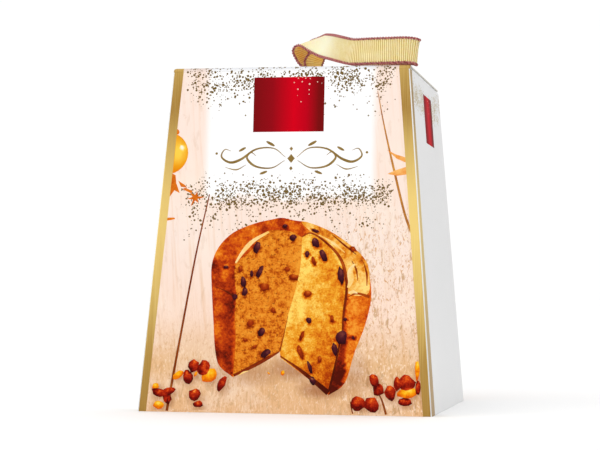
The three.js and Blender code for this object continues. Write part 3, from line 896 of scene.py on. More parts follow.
# Dried fruit in the crumb, as (across, up, half width, half height, turn).
RAISINS = [
    (-18, 100, 2.2, 3.8, -0.3), (4, 106, 2.2, 2.0, 0), (18, 103, 2.3, 3.4, 0.5), (23, 95, 2.0, 4.0, 0.4),
    (34, 83, 1.9, 5.6, 0.15), (13, 96, 1.4, 1.8, 0), (-26, 79, 1.7, 3.5, 0.1), (-25, 73, 1.8, 2.8, -0.2),
    (-16, 85, 1.7, 4.1, -0.4), (-21, 84, 1.1, 2.1, 0), (-14, 49, 1.9, 2.9, -0.5), (-11, 36, 1.9, 3.8, -0.9),
    (35, 46, 3.5, 4.0, 0.2), (31, 39, 1.7, 3.9, 0.2), (16, 28, 1.2, 4.3, 0.35), (18, 20, 1.8, 2.6, 0.5),
    (-31, 70, 1.6, 1.8, 0), (-1, 113, 1.5, 1.1, 0), (18, 110, 2.3, 1.0, -0.3), (15, 56, 1.8, 2.0, 0),
    (37, 57, 1.0, 1.1, 0), (42, 46, 0.9, 1.0, 0), (-37, 88, 1.5, 1.0, 0),
]
SULTANAS = [
    (-13, 76, 3.0, 2.5, 0), (-28, 87, 1.3, 2.0, 0), (41, 99, 1.8, 1.5, -0.6), (14, 72, 2.4, 2.1, 0),
    (5, 82, 2.9, 2.0, -0.1), (1, 87, 1.8, 1.5, 0), (-21, 54, 1.9, 2.2, 0), (10, 37, 1.5, 4.3, 0.35),
    (17, 92, 1.1, 3.0, 0.3), (-24, 44, 1.5, 1.1, 0), (-7, 62, 1.2, 1.7, 0.3), (22, 33, 1.3, 2.4, 0.1),
    (29, 57, 1.2, 2.2, 0), (11, 47, 1.0, 3.4, -0.4), (-18, 40, 1.6, 1.0, 0.6),
]
BERRIES = [
    (-55.7, 28, 3.1, 4.3, -0.2), (-49.3, 27, 3.6, 4.6, -0.4), (-59, 21.5, 3.2, 4.3, 0.3),
    (-38, 17.5, 2.5, 5.0, -0.5), (-54.6, 10.5, 3.8, 3.5, 0.2), (-52.4, 5, 3.3, 2.0, 0.1),
    (-77, 11.5, 4.4, 2.6, -0.3), (-70.6, 12.6, 4.2, 2.3, 0.25), (-71.6, 8, 2.6, 3.3, 0.5),
    (46, 7, 4.2, 4.4, 0.2), (54, 6.4, 4.6, 4.6, 0), (55.2, 20.8, 3.0, 4.0, 0.3), (57.8, 15.6, 3.6, 3.8, 0),
    (65, 13.6, 3.3, 4.8, 0.3), (69, 19, 2.1, 4.6, 0), (74.3, 19.6, 5.2, 4.8, 0.1), (81.4, 17, 1.7, 4.3, 0),
    (73.6, 8.4, 4.6, 2.3, 0.1),
]
CANDIED = [
    (-45.4, 22.4, 5.6, 4.0, 0.5), (-65, 22.4, 4.0, 1.9, 0.6), (-79, 15.4, 2.3, 2.0, 0.2),
    (-76.6, 4.2, 3.8, 2.5, 0), (-54.2, 23, 0.9, 1.9, -0.5), (75.2, 13.6, 6.0, 3.0, 0.15),
    (80.8, 27, 1.5, 6.2, 0), (-0.4, 24.4, 1.2, 1.6, -0.2), (-9, 24.2, 1.0, 0.6, -0.6),
]

BAUBLE = (-75.8, 158)

# The labels' left, low, right and high edges, on the front and on the right side.
LABEL = (-22.3, 170.6, 21.6, 204.4)
SIDE_LABEL = (-17.0, 168.0, 23.5, 199.2)


def rectangle(left, low, right, high):
    return [Vector(p) for p in ((left, low), (right, low), (right, high), (left, high))]


def ornament():
    """A symmetrical pen flourish with leaves and small diamonds."""
    middle = 1.8
    half = [
        stroke([(3.5, 155), (11, 160.5), (22, 160), (31, 154), (38, 152), (43.5, 155.5), (41.5, 160),
                (37.5, 159)], 0.3, 1.7),
        stroke([(4, 153), (12, 148.5), (22, 149.5), (27.5, 154.5), (25, 158), (21.8, 156)], 0.3, 1.5),
        stroke([(28, 150.5), (34, 147.5), (41, 149)], 0.2, 0.9),
        *(blob(*leaf, 0.0, sides) for *leaf, sides in (
            (13, 163.4, 3.1, 0.9, 0.5, 10), (30.5, 160, 2.6, 0.8, -0.5, 10), (17, 145.6, 2.6, 0.8, -0.35, 10),
            (46.6, 157.6, 0.8, 0.8, 0, 8))),
    ]
    shapes = []
    for shape in half:
        shapes.append([Vector((middle + p.x, p.y)) for p in shape])
        shapes.append([Vector((middle - p.x, p.y)) for p in reversed(shape)])
    for reach, z in ((2.3, 154.2), (1.1, 160.2), (1.1, 148.2)):
        corners = ((0, -1), (1, 0), (0, 1), (-1, 0))
        shapes.append([Vector((middle + x * reach, z + y * reach * 1.2)) for x, y in corners])
    return shapes


# Pen strokes of the picture: finish, points along the stroke, and its width at start, middle and end.
BEHIND_LOAF = (
    ("gap", [(-48.6, 132.5), (-56, 96), (-64, 48), (-71.6, 0.6)], (0.7, 1.2, 1.7)),
    ("gap", [(54.3, 195), (59, 172), (65, 147), (72, 120), (77.5, 106)], (0.4, 1.4, 1.5)),
    ("gap", [(83.6, 40), (81.8, 66), (79.6, 92)], (0.5, 0.8, 0.4)),
    ("gap", [(56.6, 15), (59.6, 10), (61.4, 5), (62.6, 0.8)], (0.6, 1.2, 1.4)),
    ("gap", [(40.5, 10), (41.6, 5), (42.6, 0.9)], (0.2, 0.8, 0.8)),
)
ON_LOAF = (
    ("rim", [(-30.6, 22.5), (-20, 27.6), (-9, 33.6), (-3, 37)], (1.6, 2.4, 0.8)),
    ("rim", [(-2, 34.4), (10, 26.6), (20, 19), (27.6, 13)], (0.8, 2.4, 3.4)),
    ("rim", [(9.7, 106.4), (15.5, 108.6), (25.4, 102.2), (32.9, 94.2), (36.4, 85.4), (37.6, 75), (36, 60),
             (35.6, 50)], (0.6, 2.0, 1.2)),
    ("rim", [(34.5, 45), (31.6, 30), (28, 14)], (1.0, 1.2, 1.4)),
    ("rim", [(-2.4, 37.4), (-0.6, 45.5), (2.1, 58.6)], (0.9, 0.6, 0.3)),
    ("rim", [(-43.4, 76), (-37, 73.4), (-31.6, 70.2)], (0.3, 0.9, 1.2)),
    ("rim", [(40.4, 92), (43.2, 86.6), (44.2, 80)], (0.3, 1.2, 0.3)),
    ("rim", [(47.6, 91), (49.6, 84), (49.8, 77)], (0.3, 1.3, 0.5)),
    ("rim", [(28, 107.8), (36, 101.2), (43, 95.8)], (0.3, 1.2, 0.4)),
    ("rim", [(38.6, 70.4), (44, 72.4), (51.6, 70.4)], (0.5, 1.3, 1.6)),
    ("cream", [(-31.2, 90.4), (-26.6, 97.4), (-20.4, 104), (-11, 109.4)], (1.0, 2.8, 1.2)),
    ("cream", [(38.4, 75.8), (40, 80), (39.6, 86), (42, 90)], (1.4, 4.0, 1.0)),
    ("cream", [(20, 107.6), (29, 102.6), (36, 97)], (0.4, 1.6, 0.5)),
    ("cream", [(38.6, 72.6), (41.6, 73.4), (44.2, 72.6)], (1.0, 1.9, 0.6)),
    ("cream", [(-27.6, 22.6), (-24.6, 24.4), (-21.6, 25.4)], (0.3, 1.0, 0.4)),
)
TWIGS = (
    [(60.5, 159), (66, 156.2), (73, 154), (73, 150.8), (66.5, 153.6)],
    [(61, 144.4), (66, 146.6), (73, 148.8), (73, 144), (67, 143.2)],
    [(-73.5, 146), (-70.4, 144.4), (-69.8, 139.5), (-67.4, 133.2), (-70.8, 135), (-73.8, 131)],
    [(-68.6, 141), (-64.5, 138.4), (-62.6, 136.6), (-66.8, 137.2)],
    [(-66, 135.8), (-60, 133), (-59.4, 134.6), (-64, 136.6)],
)
CROWN = [(9, 116), (25, 110.8), (40, 101), (49, 92), (51.3, 83), (51, 73), (45, 71), (38.2, 73.5),
         (36.8, 85.5), (33.3, 94.5), (25.5, 103), (15.5, 109.2)]


def front_artwork():
    """(finish, outline) pairs from the lowest layer to the highest, in millimetres."""
    layers = []

    def lay(picture, *outlines):
        for outline in outlines:
            layers.append(("picture_" + picture, [Vector(p) for p in outline]))

    def draw(strokes):
        for picture, line, widths in strokes:
            lay(picture, stroke(line, *widths))

    draw(BEHIND_LOAF)
    lay("twig", *TWIGS, spiky(-57.6, 130.4, 5.4, 6, 8), blob(-75.8, 117.4, 5.5, 0.9, 0.06, 0.3, 12, 4),
        blob(-70.4, 171.2, 1.7, 1.8, 0, 0.2, 8, 5))
    lay("bauble", [p for p in ring(*BAUBLE, 13, 13, 32) if p[0] > -74.6])
    lay("crust", curve_through(LOAF_OUTLINE, 4) + LOAF_NOTCH)
    lay("crown", curve_through(CROWN, 3, closed=True))
    fold = curve_through(CUT_FOLD, 3)[:-1]
    lay("crumb_left", curve_through(CUT_TOP_LEFT + CUT_EDGE_LEFT, 3) + fold)
    lay("crumb_right", fold + curve_through([CUT_FOLD[-1]] + CUT_EDGE_RIGHT, 3) + LOAF_NOTCH[:2])
    draw(ON_LOAF)
    for picture, bits in (("raisin", RAISINS), ("sultana", SULTANAS), ("candied", CANDIED),
                          ("berry", BERRIES)):
        lay(picture, *(blob(*bit, 0.16, 11, i) for i, bit in enumerate(bits)))
    return layers + [("gold_ink", outline) for outline in ornament()] + [("red_label", rectangle(*LABEL))]


def strip_layers(sizes, edge, top):
    """Gold strips up both edges of a wall, in millimetres."""
    low, shoulder = FLOOR_CLEARANCE / MM, min(top, REAR_SHOULDER / MM)
    inner_top = edge(top) - (sizes.strip_at_top - sizes.fold_radius) / MM
    inner_low = edge(low) - (sizes.strip_at_base - sizes.fold_radius) / MM
    cut_back = 0 if top < REAR_CORNER_FROM else REAR_CORNER_CUT
    outline = ((edge(low), low), (edge(shoulder), shoulder), (edge(top) - cut_back, top), (inner_top, top),
               (inner_low, low))
    return [("gold_foil", [Vector((sign * u, z)) for u, z in outline]) for sign in (-1, 1)]


def inside_loop(loop, u, z):
    hit = False
    for (x1, y1), (x2, y2) in zip(loop, loop[1:] + loop[:1]):
        if (y1 > z) != (y2 > z) and u < (x2 - x1) * (z - y1) / (y2 - y1) + x1:
            hit = not hit
    return hit


def printed_tone(u, z):
    """How light the pictured food is at a point, from 0 to 1."""
    for cu, cz, across, up, turn in CANDIED + BERRIES + SULTANAS + RAISINS:
        du, dz = u - cu, z - cz
        x = (du * math.cos(turn) + dz * math.sin(turn)) / across
        y = (dz * math.cos(turn) - du * math.sin(turn)) / up
        if math.hypot(x, y) < 1.2:
            lit = 0.92 - 0.66 * math.hypot(x - 0.15, y - 0.5)
            return max(0.0, lit + 0.3 * noise.noise(Vector((u * 0.5, z * 0.5, 7))))
    if math.hypot(u - BAUBLE[0], z - BAUBLE[1]) < 13.5:
        shine = max(0.0, 1 - math.hypot(u + 69.5, (z - BAUBLE[1]) * 0.7) / 8)
        spot = 0.5 if math.hypot(u + 67, z - 162.4) < 1.4 else 0.0
        return 0.28 + 0.55 * shine + spot + 0.016 * min(0, z - 156)
    if not (8 < z < 121 and -49 < u < 55):
        tilt = 0.0 if abs(u) < 47 else 0.3 if u > 50 and z > 100 else -0.15
        return 0.5 + tilt + 0.5 * noise.noise(Vector((u * 0.2, z * 0.2, 0)))

    rough = noise.noise(Vector((u * 0.10, z * 0.07, 3.0))) * 0.5
    rough += noise.noise(Vector((u * 0.35, z * 0.25, 9.0))) * 0.25
    left = -31.0 if z < 92 else -31 + (z - 92) * 1.1
    if z > 92 and u < left:
        return 0.66 - 0.004 * abs(u + 24) + rough * 0.8
    if u < left:
        return 0.52 - 0.03 * abs(u + 39) - 0.005 * max(0, 50 - z) + rough * 0.7
    if z > 107 and u < 12:
        return 0.55 - 0.012 * (z - 107) + rough * 0.5
    fold = 9.7 - (106 - z) * 0.175 if z > 37 else -2
    if u < fold:
        return 0.6 - 0.002 * max(0, 60 - z) + rough * 0.5
    right = 38 - max(0.0, (z - 80) * 0.55) - max(0.0, 30 - z) * 0.2
    if u < right:
        share = (u - fold) / max(4, right - fold)
        return 0.95 - 0.55 * share - 0.013 * max(0, 58 - z) + rough * 0.5
    if z > 72:
        return 0.66 + rough
    return 0.86 - 0.02 * abs(u - 42) - 0.002 * max(0, 40 - z) + rough * 0.5


# Fruit that casts a shadow on the planks, and the shadows round the loaf's foot as (across, up, half
# width, half height, depth).
SHADED = BERRIES + CANDIED[:7]
LOAF_SHADOWS = ((-18, 24, 22, 9, 0.5), (6, 27, 20, 9, 0.75), (24, 15, 18, 7, 0.9), (44, 24, 11, 16, 0.45),
                (-36, 24, 8, 9, 0.4))


def printed_shade(u, z):
    """How dark the pictured planks are at a point, from the shadows of what lies on them."""
    shade = 0.0
    for cu, cz, across, up, _ in SHADED:
        r = math.hypot((u - cu - 0.8) / (across + 2.6), (z - cz + 1.6) / (up + 1.6))
        shade = max(shade, 0.8 * (1 - r) ** 0.7 if r < 1 else 0)
    for cu, cz, across, up, depth in LOAF_SHADOWS:
        r = math.hypot((u - cu) / across, (z - cz) / up)
        shade = max(shade, depth * (1 - r * r))
    return shade


def guide_points():
    """Extra corners inside the pictures, so that their tones can vary."""
    loaf = LOAF_OUTLINE + LOAF_NOTCH
    grid = [(i * 2.0 + (j % 2), j * 2.0) for i in range(-25, 28) for j in range(6, 61)]
    points = [p for p in grid if inside_loop(loaf, *p)]
    for cu, cz, across, up, turn in BERRIES + CANDIED + RAISINS + SULTANAS:
        points.append((cu - 0.12 * across, cz + 0.1 * up))
        if across > 1.2:
            points += ring(cu, cz, 0.55 * across, 0.55 * up, 5, turn + TURN * 0.25 / 5)
    for cu, cz, across, up, _ in SHADED:
        for reach in (1.35, 2.1):
            points += ring(cu + 1.0, cz - 0.9, across * reach, up * reach, 10)
    table = [(u, z) for u in range(-46, 62, 4) for z in range(3, 36, 3)]
    points += [p for p in table if not inside_loop(loaf, *p)]
    for reach in (3, 6, 9):
        points += ring(-69.5, BAUBLE[1], 0.6 * reach, reach, 10)
    points.append((-67, 162.4))
    return [Vector(p) for p in points
            if 0.8 < p[1] < FRONT_TOP / MM - GUIDE_TOP_MARGIN
            and abs(p[0]) < half_at(p[1] * MM) / MM - GUIDE_MARGIN]


def cut_sheet(outline, layers, guides):
    """A wall's face cut along its artwork: (points, faces, finish of each face)."""
    points, loops = [], []
    for loop in [outline] + [loop for _, loop in layers]:
        area = sum(a.cross(b) for a, b in zip(loop, loop[1:] + loop[:1]))
        loops.append(list(range(len(points), len(points) + len(loop))))
        points += loop if area > 0 else loop[::-1]
    points += guides
    placed, _, faces, _, _, owners = delaunay_2d_cdt([Vector(p) for p in points], [], loops, 0, 1e-5)
    kept, finishes = [], []
    for face, owner in zip(faces, owners):
        if 0 not in owner:
            continue
        a, b, c = (placed[i] for i in face[:3])
        if (b - a).cross(c - a) < 0:
            face = face[::-1]
        kept.append(list(face))
        top = max(owner)
        finishes.append(layers[top - 1][0] if top else None)
    return placed, kept, finishes


# ---- The sleeve ----


def turned(x, y, z, quarter):
    """A place in front of the carton, turned to the right by so many quarters."""
    for _ in range(quarter):
        x, y = -y, x
    return Vector((x, y, z))


def wall_outline(edge, top, left, right):
    """A wall's outer face between its folds, in millimetres. left and right are (shoulder, corner)."""
    low = FLOOR_CLEARANCE / MM
    out = []
    for sign, (shoulder, corner) in ((1, right), (-1, left)):
        side = [(edge(low), low), (edge(shoulder), shoulder)]
        if corner:
            rise = top - shoulder
            side += [(edge(shoulder) - 0.15 * corner, shoulder + rise * 0.55),
                     (edge(top) - 0.45 * corner, shoulder + rise * 0.85), (edge(top) - corner, top)]
        elif top > shoulder:
            side.append((edge(top) - 0.2, top))
        side = [Vector((sign * u, z)) for u, z in side]
        out += side if sign > 0 else side[::-1]
    return out


class CARTON_OT_sleeve(bpy.types.Operator):
    """Folds the four printed walls from one sheet of board"""

    bl_idname = "carton.sleeve"
    bl_label = "Printed sleeve"

    def execute(self, context):
        sizes = context.scene.carton_sizes
        radius = sizes.fold_radius

        def edge(z_mm):
            return (half_at(z_mm * MM) - radius) / MM

        finishes = ["printed_planks", "gold_foil", "crease_wear_and_highlight", "red_label", "plain_side"]
        points, faces, wears, uvs, tones = [], [], [], [], []

        def add_wall(quarter, outline, layers, guides, ground):
            placed, cut, tops = cut_sheet(outline, layers, guides)
            first = len(points)
            for u, z in placed:
                points.append(turned(u * MM, -half_at(z * MM), z * MM, quarter))
                uvs.append((u * MM, z * MM))
                printed = ground == "printed_planks"
                tones.append((printed_tone(u, z), printed_shade(u, z)) if printed else PLAIN_TONE)
            for face, finish in zip(cut, tops):
                finish = finish or ground
                if finish not in finishes:
                    finishes.append(finish)
                faces.append([first + i for i in face])
                wears.append(finishes.index(finish))

        front_end = (FRONT_TOP / MM, 0)
        back_end = (REAR_SHOULDER / MM, 1.3)
        for quarter, top, end in ((0, FRONT_TOP / MM, front_end), (2, BACK_TOP / MM, back_end)):
            layers = front_artwork() + strip_layers(sizes, edge, top)
            add_wall(quarter, wall_outline(edge, top, end, end), layers, guide_points(), "printed_planks")
        low, shoulder, top = FLOOR_CLEARANCE / MM, FRONT_TOP / MM, SIDE_TOP / MM
        strip, foot = (sizes.side_strip - radius) / MM, (sizes.side_strip_at_base - radius) / MM
        strip_outline = ((edge(low), low), (edge(shoulder), shoulder), (edge(top) - 0.2, top),
                         (edge(top) - strip, top), (edge(low) - foot, low))
        for quarter, front in ((1, -1), (3, 1)):
            ends = [front_end, (REAR_SHOULDER / MM, 0)][::-front]
            label = rectangle(*SIDE_LABEL)
            if quarter == 3:
                label = [Vector((-p.x, p.y)) for p in reversed(label)]
            layers = [("red_label", label), ("gold_foil", [Vector((front * u, z)) for u, z in strip_outline])]
            add_wall(quarter, wall_outline(edge, top, *ends), layers, [], "plain_side")

        # Upright folds join neighbouring walls. The left wall's rear fold goes on to the glue flap.
        flat_faces = len(faces)
        for quarter in range(4):
            rear = quarter in (1, 2)
            first = len(points)
            for z in (FLOOR_CLEARANCE, REAR_SHOULDER if rear else FRONT_TOP):
                corner = half_at(z) - radius
                for step in range(FOLD_STEPS + 1):
                    angle = QUARTER * step / FOLD_STEPS - QUARTER
                    x, y = corner + radius * math.cos(angle), -corner + radius * math.sin(angle)
                    points.append(turned(x, y, z, quarter))
                    uvs.append((radius * QUARTER * step / FOLD_STEPS, z))
                    tones.append(PLAIN_TONE)
            faces += grid(2, FOLD_STEPS + 1, first)
            wears += [finishes.index("plain_side" if rear else "crease_wear_and_highlight")] * FOLD_STEPS

        sleeve = mesh_object("carton_sleeve", points, faces)
        lay_map(sleeve, uvs)
        keep_values(sleeve, "tone", [tone for tone, _ in tones])
        keep_values(sleeve, "shade", [shade for _, shade in tones])
        for polygon, index in zip(sleeve.data.polygons, wears):
            polygon.material_index = index
            polygon.use_smooth = polygon.index >= flat_faces
        wear(sleeve, *finishes, "inner_board")
        treat(sleeve, bpy.ops.mesh.remove_doubles, threshold=0.001 * MM)
        modify(sleeve, "SOLIDIFY", thickness=BOARD, offset=-1, use_even_offset=True,
               material_offset=len(finishes), material_offset_rim=len(finishes))
        sleeve.data.materials.append(finish_of("cut_edge"))
        for polygon in sleeve.data.polygons:
            if polygon.material_index >= len(finishes) and abs(polygon.normal.z) > 0.3:
                polygon.material_index = len(finishes) + 1
        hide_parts("front_wall", "right_wall", "back_wall", "left_wall")
        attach(sleeve, "carton")
        return {"FINISHED"}


# ---- Flaps, base and lid ----


def board_piece(name, corners, underside, rounded=(), radius=2 * MM, side=1):
    """A level piece of board: a plane whose corners go to these places, with some of them rounded. A
    piece of the left side mirrors the right one."""
    if side < 0:
        corners = [(-corners[i][0], corners[i][1]) for i in (1, 0, 3, 2)]
        rounded = [(1, 0, 3, 2)[i] for i in rounded]
    bpy.ops.mesh.primitive_plane_add(size=2, location=(0, 0, underside))
    piece = settle(bpy.context.object, name)
    order = [(-1, -1), (1, -1), (1, 1), (-1, 1)]
    for vertex in piece.data.vertices:
        sign = (1 if vertex.co.x > 0 else -1, 1 if vertex.co.y > 0 else -1)
        vertex.co.x, vertex.co.y = corners[order.index(sign)]
    piece.data.update()
    if rounded:
        edit(piece)
        places = [Vector(corners[i]) for i in rounded]
        choose(piece, lambda v: min((v.co.xy - p).length for p in places) < 0.01 * MM)
        bpy.ops.mesh.bevel(offset=radius, segments=6, affect="VERTICES")
        leave_edit()
    return piece


def dress(piece, axis, outwards, outer="plain_side", inner="inner_board"):
    """Gives faces that look outwards along the axis one finish, their backs another and edges a third."""
    wear(piece, outer, inner, "cut_edge")
    for polygon in piece.data.polygons:
        facing = polygon.normal[axis] * outwards
        polygon.material_index = 0 if facing > 0.6 else (1 if facing < -0.6 else 2)


def thicken(piece, outer="plain_side", inner="inner_board"):
    """Gives a level piece the board's thickness, softened edges and its finishes."""
    modify(piece, "SOLIDIFY", thickness=BOARD, offset=1)
    modify(piece, "BEVEL", **SOFT_EDGE)
    dress(piece, 2, 1, outer, inner)
    map_print(piece, lambda co: (co.x, PLAIN_PRINT + co.y))


class CARTON_OT_base(bpy.types.Operator):
    """Closes the foot with its panel and flaps"""

    bl_idname = "carton.base"
    bl_label = "Base panel and flaps"

    def execute(self, context):
        low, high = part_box("base_panel")
        corners = rectangle(low.x, low.y, high.x, high.y)
        panel = board_piece("base_panel_board", corners, low.z, range(4), 1.2 * MM)
        thicken(panel, "inner_board", "plain_side")
        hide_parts("base_panel")
        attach(panel, "carton")

        taper = 12 * MM
        for side, node in ((1, "base_dust_flap_right"), (-1, "base_dust_flap_left")):
            low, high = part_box(node)
            tip, root = sorted((abs(low.x), abs(high.x)))
            corners = [(tip, low.y + taper), (root, low.y), (root, high.y), (tip, high.y - taper)]
            flap = board_piece(node + "_board", corners, low.z, (0, 3), 9 * MM, side)
            thicken(flap, "inner_board", "plain_side")
            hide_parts(node)
            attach(flap, "carton")

        # The base's tuck stands behind the front wall, leaning with it.
        low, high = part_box("base_tuck_flap")
        inset = BOARD + 0.3 * MM
        tuck = board_piece("base_tuck_board", rectangle(low.x, low.z, high.x, high.z), 0, (2, 3), 8 * MM)
        for vertex in tuck.data.vertices:
            up = vertex.co.y
            vertex.co = (vertex.co.x, inset - half_at(up) + vertex.co.z, up)
        tuck.data.update()
        modify(tuck, "SOLIDIFY", thickness=BOARD, offset=-1)
        dress(tuck, 1, -1)
        map_print(tuck, lambda co: (co.x, PLAIN_PRINT + co.z))
        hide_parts("base_tuck_flap")
        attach(tuck, "carton")

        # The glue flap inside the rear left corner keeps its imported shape.
        rewear(frame["nodes"]["seam_flap"])
        return {"FINISHED"}


class CARTON_OT_lid(bpy.types.Operator):
    """Makes the lid, its tuck and dust flaps and the creases that join them"""

    bl_idname = "carton.lid"
    bl_label = "Lid, flaps and creases"

    def execute(self, context):
        sizes = context.scene.carton_sizes
        front, rear = -(half_at(FRONT_TOP) - FRONT_ROLL), TUCK_HIGH.y - REAR_ROLL
        wide = TOP_HALF
        corners = rectangle(-wide, front, wide, rear)
        lid = board_piece("lid_board", corners, LID_UNDERSIDE, (0, 1), sizes.lid_corner)
        slot_half, slot_long = 1.7 * MM, 9.6 * MM
        edit(lid)
        for normal, reach in ((Vector((1, 0, 0)), slot_half), (Vector((0, 1, 0)), slot_long)):
            for place in (normal * reach, -normal * reach):
                bpy.ops.mesh.select_all(action="SELECT")
                bpy.ops.mesh.bisect(plane_co=place, plane_no=normal)

        def in_slot(face):
            middle = face.calc_center_median()
            return abs(middle.x) < slot_half and abs(middle.y) < slot_long

        choose(lid, in_slot, "FACE")
        bpy.ops.mesh.delete(type="FACE")
        leave_edit()
        thicken(lid, "printed_planks")
        reach = FRONT_TOP + QUARTER * FRONT_ROLL
        map_print(lid, lambda co: (co.x, reach + co.y - front))
        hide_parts("lid_panel")
        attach(lid, "lid")

        # Front crease: the print runs over it onto the lid, and round its two crushed corners.
        steps, turns, columns = 8, 5, 6
        centre = Vector((0, front, FRONT_TOP))
        points, map_at = [], []
        for i in range(steps + 1):
            angle = QUARTER * i / steps
            drawn_in = 1 - math.cos(angle)
            corner = sizes.fold_radius + (sizes.lid_corner - sizes.fold_radius) * drawn_in
            half = half_at(FRONT_TOP) + (wide - half_at(FRONT_TOP)) * drawn_in - corner
            y, z = -FRONT_ROLL * math.cos(angle), FRONT_ROLL * math.sin(angle)
            row = []
            for k in range(turns, 0, -1):
                turn = QUARTER * k / turns
                row.append((-half - corner * math.sin(turn), corner * (1 - math.cos(turn)),
                            -half - corner * turn))
            plain = half_at(FRONT_TOP) - sizes.strip_at_top
            inner = [-half] + [plain * k / columns for k in range(-columns, columns + 1)] + [half]
            row += [(x, 0, x) for x in inner]
            row += [(-x, back, -along) for x, back, along in reversed(row[:turns])]
            for x, back, along in row:
                points.append(centre + Vector((x, y + back, z)))
                map_at.append((along, FRONT_TOP + FRONT_ROLL * angle))
        across = len(row)
        roll = mesh_object("front_crease", points, grid(steps + 1, across))
        lay_map(roll, map_at)
        for polygon in roll.data.polygons:
            printed = turns < polygon.index % (across - 1) < across - turns - 2
            polygon.material_index = 0 if printed else 1
            polygon.use_smooth = True
        wear(roll, "printed_planks", "gold_foil", "inner_board")
        modify(roll, "SOLIDIFY", thickness=BOARD, offset=-1, material_offset=2, material_offset_rim=2)
        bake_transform(roll)

        self.make_tuck(rear)
        for side in (1, -1):
            self.make_dust_flap(side)
        return {"FINISHED"}

    def plain_roll(self, name, centre, radius, out, rows, body_a, body_b):
        """A quarter roll that starts level with its centre, outwards, and ends on top of it. rows(share)
        gives the two ends of a row."""
        centre, out, steps = Vector(centre), Vector(out), FOLD_STEPS
        points = []
        for i in range(steps + 1):
            angle = QUARTER * i / steps
            for end in rows(i / steps):
                points.append(centre + end + out * radius * math.cos(angle)
                              + Vector((0, 0, radius * math.sin(angle))))
        roll = mesh_object(name, points, grid(steps + 1, 2))
        for polygon in roll.data.polygons:
            polygon.use_smooth = True
        if roll.data.polygons[0].normal.dot(out) < 0:
            roll.data.flip_normals()
        wear(roll, "plain_side", "inner_board")
        modify(roll, "SOLIDIFY", thickness=BOARD, offset=-1, material_offset=1, material_offset_rim=1)
        map_print(roll, lambda co: (0.02, PLAIN_PRINT))
        start, end = centre + out * radius, centre + Vector((0, 0, radius))
        if body_a == "lid":
            start, end = end, start
        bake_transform(roll)
        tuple(start)
        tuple(end)

    def make_tuck(self, rear):
        wide, low, high = TUCK_HIGH.x, TUCK_LOW.z, LID_TOP - REAR_ROLL
        tuck = board_piece("tuck_board", rectangle(-wide, low, wide, high), 0, (0, 1), 8 * MM)
        for vertex in tuck.data.vertices:
            vertex.co = (vertex.co.x, TUCK_HIGH.y, vertex.co.y)
        tuck.data.update()
        if tuck.data.polygons[0].normal.y < 0:
            tuck.data.flip_normals()
        modify(tuck, "SOLIDIFY", thickness=BOARD, offset=-1)
        modify(tuck, "BEVEL", **SOFT_EDGE)
        dress(tuck, 1, 1)
        map_print(tuck, lambda co: (co.x, PLAIN_PRINT + (co.z - low)))
        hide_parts("lid_tuck_flap")
        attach(tuck, "tuck")

        def rows(t):
            return [Vector((sign * (wide + 4 * MM * t * t), 0, 0)) for sign in (-1, 1)]

        self.plain_roll("tuck_crease_roll", (0, rear, high), REAR_ROLL, (0, 1, 0), rows, "lid", "tuck")

    def make_dust_flap(self, side):
        node = "lid_dust_flap_right" if side > 0 else "lid_dust_flap_left"
        low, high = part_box(node)
        tip, far = sorted((abs(low.x), abs(high.x)))
        root = half_at(SIDE_TOP) - SIDE_ROLL
        mitre = low.y + (far - root)
        corners = [(tip, mitre + root - tip), (root, mitre), (root, high.y), (tip, high.y - 2 * MM)]
        flap = board_piece(node + "_board", corners, low.z, (3,), 8 * MM, side)
        thicken(flap)
        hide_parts(node)
        body = "dust_right" if side > 0 else "dust_left"
        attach(flap, body)

        def rows(_):
            ends = [Vector((0, mitre + 0.4 * MM, 0)), Vector((0, high.y, 0))]
            return ends if side < 0 else ends[::-1]

        centre = (side * root, 0, SIDE_TOP)
        self.plain_roll(body + "_crease", centre, SIDE_ROLL, (side, 0, 0), rows, "carton", body)


# ---- The ribbon ----

# Its way, in millimetres: the centreline's place, then the direction across the width.
RIBBON_WAY = [
    (-14, 0, 208.5, 0, 1, 0), (-8, 0, 208.5, 0, 1, 0), (-3.2, 0, 208.5, 0, 1, 0), (-1.3, 0, 209.3, 0, 1, 0),
    (-0.9, 0, 211, 0, 1, 0), (-1.3, 0, 213.5, 0.05, 1, 0), (-3, -0.5, 219, 0.22, 0.97, 0),
    (-5.6, -1.5, 224.6, 0.45, 0.88, 0), (-7.6, -3, 230.4, 0.45, 0.88, 0.05),
    (-5.2, -5, 234.4, 0.3, 0.93, 0.2), (-0.5, -8.5, 235, 0, 0.95, 0.38), (6, -15.5, 233.2, 0.05, 0.82, 0.75),
    (13, -26, 230, 0.12, 0.5, 0.95), (20, -40, 227, 0.1, 0.3, 1), (28, -55, 223.5, 0.03, 0.15, 1),
    (37, -66, 220.5, 0, 0.05, 1), (48, -71, 219.9, 0, 0, 1), (60, -72, 219.9, 0, 0, 1),
    (70, -72, 220, 0.03, 0, 1), (76, -70.5, 219.5, 0.08, 0.05, 1), (77.6, -67, 218.9, 0.08, 0.05, 1),
    (75.5, -63.5, 219.9, 0.06, 0.05, 1), (69, -60, 220.4, 0, 0, 1), (56, -54, 220.6, 0, 0, 1),
    (41, -42, 222, 0.05, 0.08, 1), (27, -28, 226, 0.1, 0.4, 0.85), (15, -12, 230, 0.25, 0.8, 0.5),
    (7, -3.5, 229.6, 0.5, 0.85, 0.2), (1.2, -0.6, 223.8, 0.66, 0.75, 0), (0.9, 0, 217.5, 0.4, 0.92, 0),
    (0.9, 0, 213.5, 0.1, 1, 0), (0.9, 0, 211, 0, 1, 0), (1.3, 0, 209.3, 0, 1, 0), (3.2, 0, 208.5, 0, 1, 0),
    (8, 0, 208.5, 0, 1, 0), (14, 0, 208.5, 0, 1, 0),
]


